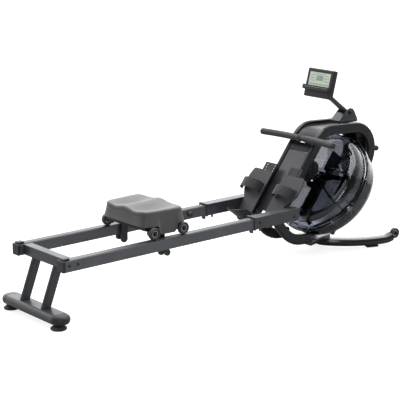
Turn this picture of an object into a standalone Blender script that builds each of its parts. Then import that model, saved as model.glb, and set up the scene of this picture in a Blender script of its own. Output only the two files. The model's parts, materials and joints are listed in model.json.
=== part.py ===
"""Water rowing machine with an inclined tank, twin rails, a rolling seat and a belt-pulled handle.

Metres, +Z up. The origin lies on the floor below the middle of the machine, +X points to the
tank end and +Y to the user's left when seated facing the tank. The slope is the inclined plane
that the foot plates, the tank and the rear side of the frame hoops are parallel to. A place on
it is given as (s, y, h): s metres up the slope from the tank's centre, y across, and h metres
out of the tank's middle plane towards the user.
"""

import math

import bmesh
import bpy
import numpy as np
from mathutils import Matrix, Vector

GAP = 0.0003  # clearance between pieces that touch

# Overall
HALF_LENGTH = 1.060
SLOPE = math.radians(52.0)
TANK_CENTRE = Vector((0.708, 0.0, 0.3265))
SLOPE_UP = Vector((math.cos(SLOPE), 0.0, math.sin(SLOPE)))
SLOPE_OUT = Vector((-math.sin(SLOPE), 0.0, math.cos(SLOPE)))
SIDES = {"left": 1.0, "right": -1.0}

# Rails and rear stand
RAIL_Y = 0.1705
RAIL_WIDTH = 0.046
RAIL_HEIGHT = 0.047
RAIL_TOP = 0.287
RAIL_WALL = 0.002
RAIL_REAR = -0.9905
RAIL_FRONT = 0.190
RAIL_INNER = RAIL_Y - RAIL_WIDTH / 2
RAIL_OUTER = RAIL_Y + RAIL_WIDTH / 2
RAIL_BOTTOM = RAIL_TOP - RAIL_HEIGHT
CROSSBAR_X = (-0.9717, -0.9297)
FOOT_BAR_X = (-HALF_LENGTH, -0.973)
FOOT_BAR_Z = (0.0225, 0.0645)
FOOT_BAR_HALF = 0.176
FOOT_CAP_HALF = 0.2265
REAR_PAD_Y = 0.1795
REAR_PAD_X = -1.0225
LEG_Y = 0.0795
LEG_SECTION = (0.048, 0.020)
REAR_PAD_RADIUS = 0.035

# Frame hoops
HOOP_Y = 0.0765
HOOP_WIDTH = 0.052
HOOP_THICK = 0.028
HOOP_INNER = HOOP_Y - HOOP_THICK / 2
HOOP_OUTER = HOOP_Y + HOOP_THICK / 2
HOOP_FACE = 0.2625  # h of the hoops' face on the user's side
HOOP_BOTTOM = 0.0905
HOOP_TOP = 0.6130
BUMPER_X = 0.9968
HOOP_END_X = 0.5450

# Rail sleeves
SLEEVE_X = (0.0666, 0.354)
SLEEVE_Y = (0.1440, 0.1975)
SLEEVE_Z = (0.2375, 0.2955)
TRACK_TOP = RAIL_TOP + 0.0018
TRACK_HALF = 0.0175
TRACK_X = (-0.962, 0.060)

# Front stabiliser
STABILISER_WIDTH = 0.058
STABILISER_HEIGHT = 0.039
STABILISER_Z = 0.0305
TRANSPORT_RADIUS = 0.0265
TRANSPORT_CENTRE = Vector((HALF_LENGTH - TRANSPORT_RADIUS, 0.2055, 0.054))

# Tank and drive
TANK_RADIUS = 0.255
FLANGE_RADIUS = 0.2705
SHELL_WALL = 0.004
REAR_DEPTH = 0.0925
FRONT_DEPTH = 0.100
FRONT_RADIUS = 0.2565
SHAFT_RADIUS = 0.008
IMPELLER_RADIUS = 0.170
DRUM_RADIUS = 0.050
IDLER_RADIUS = 0.018
IDLER_H = 0.232

# Handle
HANDLE_S = 0.0980
HANDLE_H = 0.289
HANDLE_RADIUS = 0.01625
HANDLE_HALF = 0.252
IDLER_S = HANDLE_S - IDLER_RADIUS - 0.0013

# Seat
SEAT_WHEEL_X = (-0.505, -0.3415)
SEAT_WHEEL_RADIUS = 0.0275
SEAT_WHEEL_WIDTH = 0.022
SEAT_WHEEL_Z = TRACK_TOP + GAP + SEAT_WHEEL_RADIUS
SEAT_REAR = -0.545
SEAT_FRONT = -0.322
SEAT_BOTTOM = 0.3455
GUIDE_X = -0.438
GUIDE_Y = 0.1755
GUIDE_Z = 0.2225
GUIDE_RADIUS = 0.0155
GUIDE_ARM_Y = (0.132, 0.139)

# Foot rests
FOOT_Y = 0.095
PLATE_H = (0.286, 0.291)
SOLE_H = (PLATE_H[1] + GAP, PLATE_H[1] + 0.0085)
HOLE_PITCH = 0.0150

# Monitor
ARM_PIVOT = Vector((0.8627, 0.0, 0.6741))
MONITOR_FOOT = Vector((0.6468, 0.0, 0.7703))  # middle of the front face's lower edge
MONITOR_LEAN = math.radians(14.9)
MONITOR_SIZE = (0.030, 0.177, 0.1415)


def slope(s, y, h):
    """The point at (s, y, h) of the inclined plane."""
    return TANK_CENTRE + SLOPE_UP * s + Vector((0.0, y, 0.0)) + SLOPE_OUT * h


def slope_frame(s=0.0, y=0.0, h=0.0):
    """A matrix whose X runs up the slope, Y across and Z out of it, at (s, y, h)."""
    turned = Matrix.Rotation(-SLOPE, 4, "Y")
    return Matrix.Translation(slope(s, y, h)) @ turned


def clear_scene():
    for obj in list(bpy.data.objects):
        bpy.data.objects.remove(obj, do_unlink=True)


def make_material(name, colour, roughness, metallic=0.0, alpha=1.0):
    made = bpy.data.materials.new(name)
    made.use_nodes = True
    shader = made.node_tree.nodes["Principled BSDF"]
    shader.inputs["Base Color"].default_value = (*colour, 1.0)
    shader.inputs["Roughness"].default_value = roughness
    shader.inputs["Metallic"].default_value = metallic
    shader.inputs["Alpha"].default_value = alpha
    made.diffuse_color = (*colour, alpha)
    return made


def finish_mesh(name, build, paint, sharp=30.0):
    """An object of the bmesh's shape, with outward normals and soft shading under the sharp angle."""
    bmesh.ops.recalc_face_normals(build, faces=build.faces)
    mesh = bpy.data.meshes.new(name)
    build.to_mesh(mesh)
    build.free()
    mesh.shade_smooth()
    mesh.set_sharp_from_angle(angle=math.radians(sharp))
    obj = bpy.data.objects.new(name, mesh)
    bpy.context.scene.collection.objects.link(obj)
    if paint:
        obj.data.materials.append(paint)
    return obj


def at_pivot(obj, pivot):
    """Puts the object's origin on its joint, leaving the shape where it is."""
    obj.data.transform(Matrix.Translation(-Vector(pivot)))
    obj.location = pivot
    return obj


def join(obj, *others, cut=False):
    """A union with, or a cut by, each helper, which is then hidden."""
    for index, other in enumerate(others):
        other.hide_render = True
        other.display_type = "WIRE"
        boolean = obj.modifiers.new(f"{'cut' if cut else 'join'}_{index}", "BOOLEAN")
        boolean.operation = "DIFFERENCE" if cut else "UNION"
        boolean.solver = "EXACT"
        boolean.object = other
    return obj


def box(name, low, high, paint=None, rounding=0.0, segments=2, frame=None):
    """A block between two corners, its edges rounded, in the world or in a turned frame."""
    low = Vector(low)
    high = Vector(high)
    build = bmesh.new()
    bmesh.ops.create_cube(build, size=1.0)
    bmesh.ops.scale(build, vec=high - low, verts=build.verts)
    bmesh.ops.translate(build, vec=(low + high) / 2, verts=build.verts)
    if rounding:
        bmesh.ops.bevel(build, geom=list(build.edges), offset=rounding, segments=segments,
                        profile=0.5, affect="EDGES")
    if frame:
        bmesh.ops.transform(build, matrix=frame, verts=build.verts)
    return finish_mesh(name, build, paint)


def rod(name, start, end, radius, paint=None, segments=24):
    """A round bar between two points."""
    start = Vector(start)
    end = Vector(end)
    build = bmesh.new()
    bmesh.ops.create_cone(build, cap_ends=True, segments=segments, radius1=radius, radius2=radius,
                          depth=(end - start).length)
    turn = (end - start).to_track_quat("Z", "Y").to_matrix().to_4x4()
    bmesh.ops.transform(build, matrix=Matrix.Translation((start + end) / 2) @ turn, verts=build.verts)
    return finish_mesh(name, build, paint)


def prism(name, outline, y_low, y_high, paint=None, rounding=0.0, frame=None):
    """A plate whose outline is given in X and Z, or in s and h of a frame, standing along Y."""
    build = bmesh.new()
    ring = [build.verts.new((x, y_low, z)) for x, z in outline]
    face = build.faces.new(ring)
    grown = bmesh.ops.extrude_face_region(build, geom=[face])
    moved = [item for item in grown["geom"] if isinstance(item, bmesh.types.BMVert)]
    bmesh.ops.translate(build, vec=(0.0, y_high - y_low, 0.0), verts=moved)
    if rounding:
        bmesh.ops.bevel(build, geom=list(build.edges), offset=rounding, segments=1, affect="EDGES")
    if frame:
        bmesh.ops.transform(build, matrix=frame, verts=build.verts)
    return finish_mesh(name, build, paint)


def turned(name, profile, frame, paint=None, segments=32, closed=True):
    """A profile of (radius, height) points spun about the frame's Z. A closed profile is a ring."""
    build = bmesh.new()
    rings = []
    for radius, height in profile:
        if radius < 1e-7:
            rings.append([build.verts.new((0.0, 0.0, height))])
            continue
        angles = [math.tau * step / segments for step in range(segments)]
        rings.append([build.verts.new((radius * math.cos(a), radius * math.sin(a), height))
                      for a in angles])
    pairs = list(zip(rings, rings[1:] + rings[:1])) if closed else list(zip(rings, rings[1:]))
    for lower, upper in pairs:
        for step in range(segments):
            following = (step + 1) % segments
            corners = [lower[step % len(lower)], lower[following % len(lower)],
                       upper[following % len(upper)], upper[step % len(upper)]]
            unique = list(dict.fromkeys(corners))
            if len(unique) > 2:
                build.faces.new(unique)
    bmesh.ops.transform(build, matrix=frame, verts=build.verts)
    return finish_mesh(name, build, paint)


def rounded_section(width, height, radius, per_corner=3):
    """The outline of a tube with rounded corners, as (across, up) points round its middle."""
    points = []
    corners = ((1, 1, 0), (-1, 1, 90), (-1, -1, 180), (1, -1, 270))
    for across, up, start in corners:
        centre = (across * (width / 2 - radius), up * (height / 2 - radius))
        for step in range(per_corner):
            angle = math.radians(start + 90.0 * step / (per_corner - 1))
            points.append((centre[0] + radius * math.cos(angle), centre[1] + radius * math.sin(angle)))
    return points


def sweep(name, path, section, side, paint=None):
    """A section carried along a path. side is the fixed direction that the section's second axis keeps."""
    build = bmesh.new()
    count = len(path)
    rings = []
    for index, point in enumerate(path):
        before = path[max(index - 1, 0)]
        after = path[min(index + 1, count - 1)]
        along = (after - before).normalized()
        across = along.cross(side).normalized()
        second = across.cross(along).normalized()
        rings.append([build.verts.new(point + across * a + second * b) for a, b in section])
    pairs = list(zip(rings, rings[1:]))
    size = len(section)
    for lower, upper in pairs:
        for step in range(size):
            following = (step + 1) % size
            build.faces.new((lower[step], lower[following], upper[following], upper[step]))
    build.faces.new(rings[0][::-1])
    build.faces.new(rings[-1])
    return finish_mesh(name, build, paint)


def filleted(corners, radii, steps):
    """An open path in the XZ plane through corners rounded by arcs, as (x, z) arrays."""
    path = []
    count = len(corners)
    for index, corner in enumerate(corners):
        corner = np.array(corner, float)
        if index in (0, count - 1):
            path.append(corner)
            continue
        before = np.array(corners[index - 1], float)
        after = np.array(corners[index + 1], float)
        inward = (before - corner) / np.linalg.norm(before - corner)
        outward = (after - corner) / np.linalg.norm(after - corner)
        half = math.acos(float(np.clip(inward @ outward, -1.0, 1.0))) / 2
        reach = radii[index] / math.tan(half)
        middle = corner + (inward + outward) / np.linalg.norm(inward + outward) * (
            radii[index] / math.sin(half))
        first = corner + inward * reach - middle
        last = corner + outward * reach - middle
        total = math.atan2(first[0] * last[1] - first[1] * last[0], float(first @ last))
        for step in range(steps[index] + 1):
            turn = total * step / steps[index]
            path.append(middle + np.array((first[0] * math.cos(turn) - first[1] * math.sin(turn),
                                           first[0] * math.sin(turn) + first[1] * math.cos(turn))))
    return path


def hoop_corners():
    """The hoop's middle line, from its lower front end up the front, over the top, down the slope
    and forward below the tank to its lower rear end, as (x, z) corners."""
    face = HOOP_FACE - HOOP_WIDTH / 2
    rise = HOOP_TOP + 0.004 - slope(0.0, 0.0, face).z
    top_rear = slope(rise / SLOPE_UP.z, 0.0, face)
    rear_low = slope(-0.3290, 0.0, face)
    return [(0.6905, 0.0916), (1.0925, HOOP_TOP - 0.018), (top_rear.x, top_rear.z),
            (rear_low.x, rear_low.z), (0.4205, HOOP_BOTTOM), (HOOP_END_X, HOOP_BOTTOM)]


HOOP_RADII = (0.0, 0.122, 0.105, 0.025, 0.170, 0.0)
HOOP_STEPS = (0, 11, 7, 4, 5, 0)


# --- materials -------------------------------------------------------------------------------

PAINT = {}


def make_materials():
    PAINT["frame"] = make_material("frame_paint", (0.075, 0.078, 0.085), 0.42, 0.3)
    PAINT["rail"] = make_material("rail_paint", (0.085, 0.088, 0.095), 0.40, 0.3)
    PAINT["plastic"] = make_material("black_plastic", (0.045, 0.047, 0.052), 0.5)
    PAINT["rubber"] = make_material("black_rubber", (0.03, 0.03, 0.032), 0.7)
    PAINT["seat"] = make_material("seat_foam", (0.11, 0.11, 0.115), 0.62)
    PAINT["grip"] = make_material("grip_foam", (0.06, 0.06, 0.06), 0.75)
    PAINT["tank"] = make_material("smoked_clear", (0.10, 0.11, 0.13), 0.08, 0.0, 0.35)
    PAINT["steel"] = make_material("bare_steel", (0.62, 0.63, 0.65), 0.3, 1.0)
    PAINT["web"] = make_material("webbing", (0.035, 0.037, 0.04), 0.85)
    PAINT["screen"] = make_material("display_glass", (0.55, 0.62, 0.52), 0.2)


# --- rails and rear stand --------------------------------------------------------------------

def build_rails():
    for side, sign in SIDES.items():
        centre = sign * RAIL_Y
        rail = box(f"rail_{side}", (RAIL_REAR, centre - RAIL_WIDTH / 2, RAIL_BOTTOM),
                   (RAIL_FRONT, centre + RAIL_WIDTH / 2, RAIL_TOP), PAINT["rail"])
        bore = box(f"rail_bore_{side}", (RAIL_REAR - 0.01, centre - RAIL_WIDTH / 2 + RAIL_WALL,
                                         RAIL_BOTTOM + RAIL_WALL),
                   (RAIL_FRONT + 0.01, centre + RAIL_WIDTH / 2 - RAIL_WALL, RAIL_TOP - RAIL_WALL))
        join(rail, bore, cut=True)
        box(f"rail_track_{side}", (TRACK_X[0], centre - TRACK_HALF, RAIL_TOP + GAP),
            (TRACK_X[1], centre + TRACK_HALF, TRACK_TOP), PAINT["steel"])
        cap = box(f"rail_end_cap_{side}", (RAIL_REAR - 0.0105, centre - 0.0245, RAIL_BOTTOM - 0.0015),
                  (RAIL_REAR - GAP, centre + 0.0245, RAIL_TOP + 0.0025), PAINT["plastic"], 0.0045, 3)
        stop = box(f"seat_stop_{side}", (RAIL_REAR - 0.004, centre - 0.0145, RAIL_TOP + GAP),
                   (TRACK_X[0] - GAP, centre + 0.0145, RAIL_TOP + 0.0105), None, 0.003, 2)
        join(cap, stop)
        inner = sign * (RAIL_INNER - GAP)
        stop_place = Matrix.Translation((-0.039, inner, 0.2655))
        stop_place = stop_place @ Matrix.Rotation(sign * math.pi / 2, 4, "X")
        turned(f"front_seat_stop_{side}", ((0.0, 0.0), (0.0125, 0.0), (0.0125, 0.013), (0.009, 0.0175),
                                           (0.0, 0.019)), stop_place, PAINT["rubber"], 20, False)


def build_rear_stand():
    reach = RAIL_INNER - GAP
    stand = box("rear_stand", (CROSSBAR_X[0], -reach, RAIL_BOTTOM + 0.0005),
                (CROSSBAR_X[1], reach, RAIL_TOP), PAINT["frame"], 0.002, 1)
    width = FOOT_BAR_X[1] - FOOT_BAR_X[0]
    height = FOOT_BAR_Z[1] - FOOT_BAR_Z[0]
    middle = Vector((sum(FOOT_BAR_X) / 2, 0.0, sum(FOOT_BAR_Z) / 2))
    section = rounded_section(width, height, 0.0185, 4)
    path = [middle + Vector((0.0, y, 0.0)) for y in (-FOOT_BAR_HALF, FOOT_BAR_HALF)]
    foot_bar = sweep("foot_bar", path, section, Vector((0, 0, 1)))
    legs = []
    leg_section = rounded_section(*LEG_SECTION, LEG_SECTION[1] * 0.45, 4)
    for side, sign in SIDES.items():
        build = bmesh.new()
        rings = []
        for x, z in ((-1.0220, FOOT_BAR_Z[1] - 0.010), (-0.9465, RAIL_BOTTOM + 0.010)):
            rings.append([build.verts.new((x + a, sign * LEG_Y + b, z)) for a, b in leg_section])
        size = len(leg_section)
        for step in range(size):
            following = (step + 1) % size
            build.faces.new((rings[0][step], rings[0][following], rings[1][following], rings[1][step]))
        build.faces.new(rings[0][::-1])
        build.faces.new(rings[1])
        legs.append(finish_mesh(f"rear_leg_{side}", build, None))
    join(stand, foot_bar, *legs)

    for side, sign in SIDES.items():
        cap_y = FOOT_CAP_HALF - width / 2
        steps = 7
        build = bmesh.new()
        rings = []
        stations = [FOOT_BAR_HALF + GAP] + [cap_y + width / 2 * math.sin(math.pi / 2 * k / steps)
                                            for k in range(steps)]
        for y in stations:
            inside = max(0.0, y - cap_y) / (width / 2)
            narrow = math.sqrt(max(0.0, 1.0 - inside ** 2))
            low = height / 2 * (1.0 - 0.55 * (1.0 - narrow) ** 1.2)
            ring = rounded_section(width * narrow, 2 * low, min(0.0185, width * narrow / 2.05), 4)
            rings.append([build.verts.new(middle + Vector((a, sign * y, b))) for a, b in ring])
        size = len(section)
        for lower, upper in zip(rings, rings[1:]):
            for step in range(size):
                following = (step + 1) % size
                build.faces.new((lower[step], lower[following], upper[following], upper[step]))
        build.faces.new(rings[0][::-1])
        build.faces.new(rings[-1])
        finish_mesh(f"foot_bar_cap_{side}", build, PAINT["plastic"], 40.0)
        place = Matrix.Translation((REAR_PAD_X, sign * REAR_PAD_Y, 0.0))
        top = FOOT_BAR_Z[0] - GAP
        pad = turned(f"rear_levelling_foot_{side}",
                     ((0.0, 0.0), (0.032, 0.0), (REAR_PAD_RADIUS, 0.003), (REAR_PAD_RADIUS, 0.008),
                      (0.027, 0.0135), (0.013, 0.0165), (0.013, top), (0.0, top)),
                     place, PAINT["rubber"], 24, False)
        at_pivot(pad, (REAR_PAD_X, sign * REAR_PAD_Y, 0.0))


# --- main frame ------------------------------------------------------------------------------

def hoop_path(grow=0.0):
    """The hoop's middle line as points in the XZ plane, pushed outward by grow metres."""
    flat = filleted(hoop_corners(), HOOP_RADII, HOOP_STEPS)
    moved = []
    for index, point in enumerate(flat):
        along = flat[min(index + 1, len(flat) - 1)] - flat[max(index - 1, 0)]
        along = along / np.linalg.norm(along)
        moved.append(point + np.array((along[1], -along[0])) * grow)
    return moved


def build_hoops():
    section = rounded_section(HOOP_WIDTH, HOOP_THICK, 0.0115, 3)
    for side, sign in SIDES.items():
        path = [Vector((x, sign * HOOP_Y, z)) for x, z in hoop_path()]
        sweep(f"side_frame_{side}", path, section, Vector((0, 1, 0)), PAINT["frame"])
        place = Matrix.Translation((BUMPER_X, sign * HOOP_Y, 0.480)) @ Matrix.Rotation(
            math.pi / 2, 4, "Y")
        turned(f"storage_bumper_{side}", ((0.0, 0.0), (0.009, 0.0), (0.009, 0.006), (0.0135, 0.010),
                                          (0.0145, 0.018), (0.011, 0.025), (0.0, 0.028)),
               place, PAINT["rubber"], 20, False)


def build_sleeves():
    for side, sign in SIDES.items():
        def across(low, high):
            return sorted((sign * low, sign * high))

        near, far = across(*SLEEVE_Y)
        sleeve = box(f"rail_sleeve_{side}", (SLEEVE_X[0], near, SLEEVE_Z[0]),
                     (SLEEVE_X[1], far, SLEEVE_Z[1]), PAINT["frame"], 0.003, 2)
        near, far = across(SLEEVE_Y[0] - 0.002, SLEEVE_Y[1] + 0.002)
        flange = box(f"sleeve_flange_{side}", (SLEEVE_X[0] - 0.002, near, SLEEVE_Z[0] - 0.002),
                     (SLEEVE_X[0] + 0.006, far, SLEEVE_Z[1] + 0.002))
        near, far = across(RAIL_Y - 0.011, RAIL_Y + 0.011)
        tab = box(f"sleeve_tab_{side}", (SLEEVE_X[0] - 0.0015, near, 0.2190),
                  (SLEEVE_X[0] + 0.0055, far, 0.2400))
        stud = rod(f"sleeve_stud_{side}", (0.123, sign * RAIL_Y, 0.2195),
                   (0.123, sign * RAIL_Y, 0.2385), 0.0055, None, 12)
        near, far = across(HOOP_OUTER + GAP, SLEEVE_Y[0] + 0.003)
        lug = box(f"sleeve_lug_{side}", (0.3130, near, 0.2405), (0.3500, far, 0.2760))
        join(sleeve, flange, tab, stud, lug)
        clearance = 2 * GAP
        near, far = across(RAIL_INNER - clearance, RAIL_OUTER + clearance)
        bore = box(f"sleeve_bore_{side}", (SLEEVE_X[0] - 0.02, near, RAIL_BOTTOM - clearance),
                   (RAIL_FRONT + 0.002, far, RAIL_TOP + clearance))
        cut = join(sleeve, bore, cut=True)
        cut.modifiers[-1].name = "bore"


def strip_on_slope(name, s_range, h_range, half, paint, crease=0.0):
    """A flat cover across the slope, its middle raised by crease."""
    middle_h = h_range[1] + crease
    outline = ((-half, h_range[0]), (half, h_range[0]), (half, h_range[1]), (0.004, middle_h),
               (-0.004, middle_h), (-half, h_range[1]))
    build = bmesh.new()
    rings = [[build.verts.new(slope(s, y, h)) for y, h in outline] for s in s_range]
    size = len(outline)
    for step in range(size):
        following = (step + 1) % size
        build.faces.new((rings[0][step], rings[0][following], rings[1][following], rings[1][step]))
    build.faces.new(rings[0][::-1])
    build.faces.new(rings[1])
    return finish_mesh(name, build, paint, 10.0)


def build_covers():
    half = HOOP_INNER - GAP
    strip_on_slope("slope_cover", (-0.300, 0.0440), (0.2530, 0.2560), half, PAINT["frame"], 0.0012)
    guide = box("belt_guide_cover", (0.0445, -half, 0.2550), (0.1180, half, 0.2595), PAINT["plastic"],
                frame=slope_frame())
    slot = box("belt_slot", (HANDLE_S - 0.008, -0.0165, 0.2400), (HANDLE_S + 0.008, 0.0165, 0.2700),
               frame=slope_frame())
    join(guide, slot, cut=True)
    outer = hoop_path(0.0150)
    start = 1 + HOOP_STEPS[1] - 4
    stop = start + HOOP_STEPS[2] + 4
    line = [Vector((x, 0.0, z)) for x, z in outer[start:stop]]
    sweep("top_cover", line, [(-0.0015, -half), (0.0015, -half), (0.0015, half), (-0.0015, half)],
          Vector((0, 1, 0)), PAINT["plastic"])


# --- stabiliser ------------------------------------------------------------------------------

def smooth_path(points, per_span=5):
    """Points along a smooth curve through the given ones, by Catmull and Rom's rule."""
    ends = [points[0] * 2 - points[1], *points, points[-1] * 2 - points[-2]]
    path = []
    for a, b, c, d in zip(ends, ends[1:], ends[2:], ends[3:]):
        for step in range(per_span):
            t = step / per_span
            path.append(0.5 * (2 * b + (c - a) * t + (2 * a - 5 * b + 4 * c - d) * t * t
                               + (3 * b - a - 3 * c + d) * t * t * t))
    path.append(points[-1])
    return path


def build_stabiliser():
    arm = [(1.0080, 0.2000, 0.0420), (0.9750, 0.1930, 0.0320), (0.9120, 0.1740, STABILISER_Z),
           (0.8420, 0.1420, STABILISER_Z), (0.7820, 0.0990, STABILISER_Z),
           (0.7300, 0.0460, STABILISER_Z)]
    points = [Vector(p) for p in arm] + [Vector((0.7060, 0.0, STABILISER_Z))]
    points += [Vector((x, -y, z)) for x, y, z in reversed(arm)]
    bar = sweep("front_stabiliser", smooth_path(points, 3),
                rounded_section(STABILISER_WIDTH, STABILISER_HEIGHT, 0.0155, 3), Vector((0, 0, 1)),
                PAINT["frame"])
    for side, sign in SIDES.items():
        centre = Vector((TRANSPORT_CENTRE.x, sign * TRANSPORT_CENTRE.y, TRANSPORT_CENTRE.z))
        inner = sorted((sign * 0.1855, sign * 0.1900))
        cheek = prism(f"wheel_cheek_{side}", ((0.985, 0.030), (1.010, 0.026), (1.042, 0.046),
                                              (1.042, 0.060), (1.030, 0.066), (0.985, 0.052)),
                      inner[0], inner[1])
        axle = rod(f"wheel_axle_{side}", (centre.x, sign * 0.1870, centre.z),
                   (centre.x, sign * 0.2200, centre.z), 0.005, None, 16)
        join(bar, cheek, axle)
        wheel_place = Matrix.Translation((centre.x, sign * 0.1906, centre.z)) @ Matrix.Rotation(
            -sign * math.pi / 2, 4, "X")
        wide = 0.0225
        wheel = turned(f"transport_wheel_{side}",
                       ((0.0053, 0.0), (0.022, 0.0), (TRANSPORT_RADIUS, 0.004),
                        (TRANSPORT_RADIUS, wide - 0.004), (0.022, wide), (0.0053, wide)),
                       wheel_place, PAINT["plastic"], 28)
        at_pivot(wheel, centre)
        bed = box(f"wheel_room_{side}", (centre.x - 0.031, min(sign * 0.1902, sign * 0.235), 0.020),
                  (centre.x + 0.060, max(sign * 0.1902, sign * 0.235), 0.110))
        trimmed = join(bar, bed, cut=True)
        trimmed.modifiers.move(len(trimmed.modifiers) - 1, 0 if side == "left" else 1)
        box(f"stabiliser_foot_{side}", (0.866, min(sign * 0.156, sign * 0.186), 0.0),
            (0.930, max(sign * 0.156, sign * 0.186), STABILISER_Z - STABILISER_HEIGHT / 2 - GAP),
            PAINT["rubber"], 0.003, 2,
            frame=Matrix.Translation((0.898, sign * 0.171, 0.0))
            @ Matrix.Rotation(sign * math.radians(21.0), 4, "Z")
            @ Matrix.Translation((-0.898, -sign * 0.171, 0.0)))
    low = STABILISER_Z + STABILISER_HEIGHT / 2 + GAP
    box("stabiliser_mount", (HOOP_END_X + GAP, -HOOP_OUTER, low), (0.7450, HOOP_OUTER, low + 0.0220),
        PAINT["frame"], 0.003, 1)


# --- tank and drive --------------------------------------------------------------------------

def rear_profile(inset):
    """The rear shell's section from rim to hub, moved in by inset."""
    radius = TANK_RADIUS - inset
    depth = REAR_DEPTH - inset
    corner = 0.042 - inset
    arc = [math.radians(90.0 * step / 4) for step in range(5)]
    rounded = [(radius - corner + corner * math.cos(a) - 0.004 * math.sin(a),
                depth - corner + corner * math.sin(a)) for a in arc]
    return [*rounded, (0.060, depth)]


def front_profile(inset):
    """The front shell's section from rim to face, a drum with a round shoulder, moved in by inset."""
    corner = 0.045 - inset
    middle = (FRONT_RADIUS - 0.045, -FRONT_DEPTH + 0.045)
    arc = [math.radians(90.0 * step / 4) for step in range(5)]
    shoulder = [(middle[0] + corner * math.cos(a), middle[1] - corner * math.sin(a)) for a in arc]
    return [*shoulder, (0.080, -FRONT_DEPTH + inset - 0.003)]


def build_tank():
    frame = slope_frame()
    flange = 0.0075
    gasket = 0.0012
    outer = rear_profile(0.0)
    inner = rear_profile(SHELL_WALL)
    rim = [(TANK_RADIUS - SHELL_WALL, gasket), (FLANGE_RADIUS, gasket), (FLANGE_RADIUS, flange),
           (TANK_RADIUS, flange)]
    hub = [(0.034, REAR_DEPTH + 0.012), (0.0125, REAR_DEPTH + 0.012),
           (0.0125, REAR_DEPTH - SHELL_WALL)]
    turned("tank_rear_shell", [*rim, *outer, (0.040, REAR_DEPTH), *hub, *reversed(inner)], frame,
           PAINT["tank"], 40)
    outer = front_profile(0.0)
    inner = front_profile(SHELL_WALL)
    rim = [(FRONT_RADIUS - SHELL_WALL, -gasket), (FLANGE_RADIUS, -gasket), (FLANGE_RADIUS, -flange),
           (FRONT_RADIUS, -flange)]
    boss = [(0.0, -FRONT_DEPTH - 0.003), (0.0, -FRONT_DEPTH - 0.003 + SHELL_WALL)]
    turned("tank_front_shell", [*rim, *outer, *boss, *reversed(inner)], frame, PAINT["tank"], 40)
    seal = gasket - GAP
    turned("tank_seal", ((FRONT_RADIUS - 0.003, -seal), (FLANGE_RADIUS - 0.001, -seal),
                         (FLANGE_RADIUS - 0.001, seal), (FRONT_RADIUS - 0.003, seal)),
           frame, PAINT["rubber"], 40)


def build_drive():
    centre = tuple(TANK_CENTRE)
    frame = slope_frame()
    shaft = turned("impeller_shaft", ((0.0, -0.050), (SHAFT_RADIUS, -0.050), (SHAFT_RADIUS, 0.2000),
                                      (0.0, 0.2000)), frame, PAINT["steel"], 24, False)
    at_pivot(shaft, centre)
    hub = turned("impeller", ((SHAFT_RADIUS + GAP, -0.044), (0.030, -0.044), (0.030, 0.044),
                              (SHAFT_RADIUS + GAP, 0.044)), frame, PAINT["plastic"], 32)
    blades = 6
    paddles = []
    for index in range(blades):
        turn = Matrix.Rotation(math.tau * index / blades, 4, "Z")
        paddles.append(box(f"paddle_{index}", (0.026, -0.0025, -0.040), (IMPELLER_RADIUS, 0.0025, 0.040),
                           frame=frame @ turn))
    join(hub, *paddles)
    at_pivot(hub, centre)
    low = 0.128
    drum = turned("drive_drum", ((SHAFT_RADIUS + GAP, low), (0.060, low), (0.060, low + 0.003),
                                 (DRUM_RADIUS, low + 0.005), (DRUM_RADIUS, low + 0.031),
                                 (0.060, low + 0.033), (0.060, low + 0.036), (0.020, low + 0.036),
                                 (0.020, low + 0.046), (SHAFT_RADIUS + GAP, low + 0.046)),
                  frame, PAINT["plastic"], 28)
    at_pivot(drum, centre)
    half = HOOP_INNER - GAP
    carrier = box("bearing_carrier", (-0.030, -half, 0.1760), (0.030, half, 0.1830), PAINT["frame"],
                  frame=frame)
    housing = turned("bearing_housing", ((0.0, 0.1758), (0.024, 0.1758), (0.024, 0.2050), (0.0, 0.2050)),
                     frame, None, 24, False)
    join(carrier, housing)
    bore = turned("bearing_bore", ((0.0, 0.1700), (SHAFT_RADIUS + GAP, 0.1700),
                                   (SHAFT_RADIUS + GAP, 0.2100), (0.0, 0.2100)), frame, None, 24, False)
    join(carrier, bore, cut=True)
    carrier.modifiers[-1].name = "bore"
    pulley_frame = slope_frame(IDLER_S, 0.0, IDLER_H) @ Matrix.Rotation(math.pi / 2, 4, "X")
    wide = 0.016
    idler = turned("idler_pulley", ((0.0053, -wide), (0.021, -wide), (0.021, -wide + 0.002),
                                    (IDLER_RADIUS, -wide + 0.0025), (IDLER_RADIUS, wide - 0.0025),
                                    (0.021, wide - 0.002), (0.021, wide), (0.0053, wide)),
                   pulley_frame, PAINT["plastic"], 28)
    at_pivot(idler, slope(IDLER_S, 0.0, IDLER_H))
    axle_half = HOOP_INNER - GAP
    rod("idler_axle", slope(IDLER_S, -axle_half, IDLER_H), slope(IDLER_S, axle_half, IDLER_H), 0.005,
        PAINT["steel"], 20)


def build_handle():
    middle = slope(HANDLE_S, 0.0, HANDLE_H)
    steps = 10
    path = []
    for index in range(steps + 1):
        y = HANDLE_HALF * (2 * index / steps - 1)
        swept = max(0.0, abs(y) - 0.060)
        path.append(middle + Vector((-0.55 * swept * swept, y, 0.0)))
    circle = [(HANDLE_RADIUS * math.cos(a), HANDLE_RADIUS * math.sin(a))
              for a in (math.tau * k / 16 for k in range(16))]
    grip = sweep("handle_grip", path, circle, SLOPE_OUT, PAINT["grip"])
    at_pivot(grip, middle)
    belt = box("drive_belt", (HANDLE_S - 0.001, -0.0125, IDLER_H + 0.0215),
               (HANDLE_S + 0.001, 0.0125, HANDLE_H - HANDLE_RADIUS - GAP), PAINT["web"],
               frame=slope_frame())
    at_pivot(belt, middle)


# --- seat ------------------------------------------------------------------------------------

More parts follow.
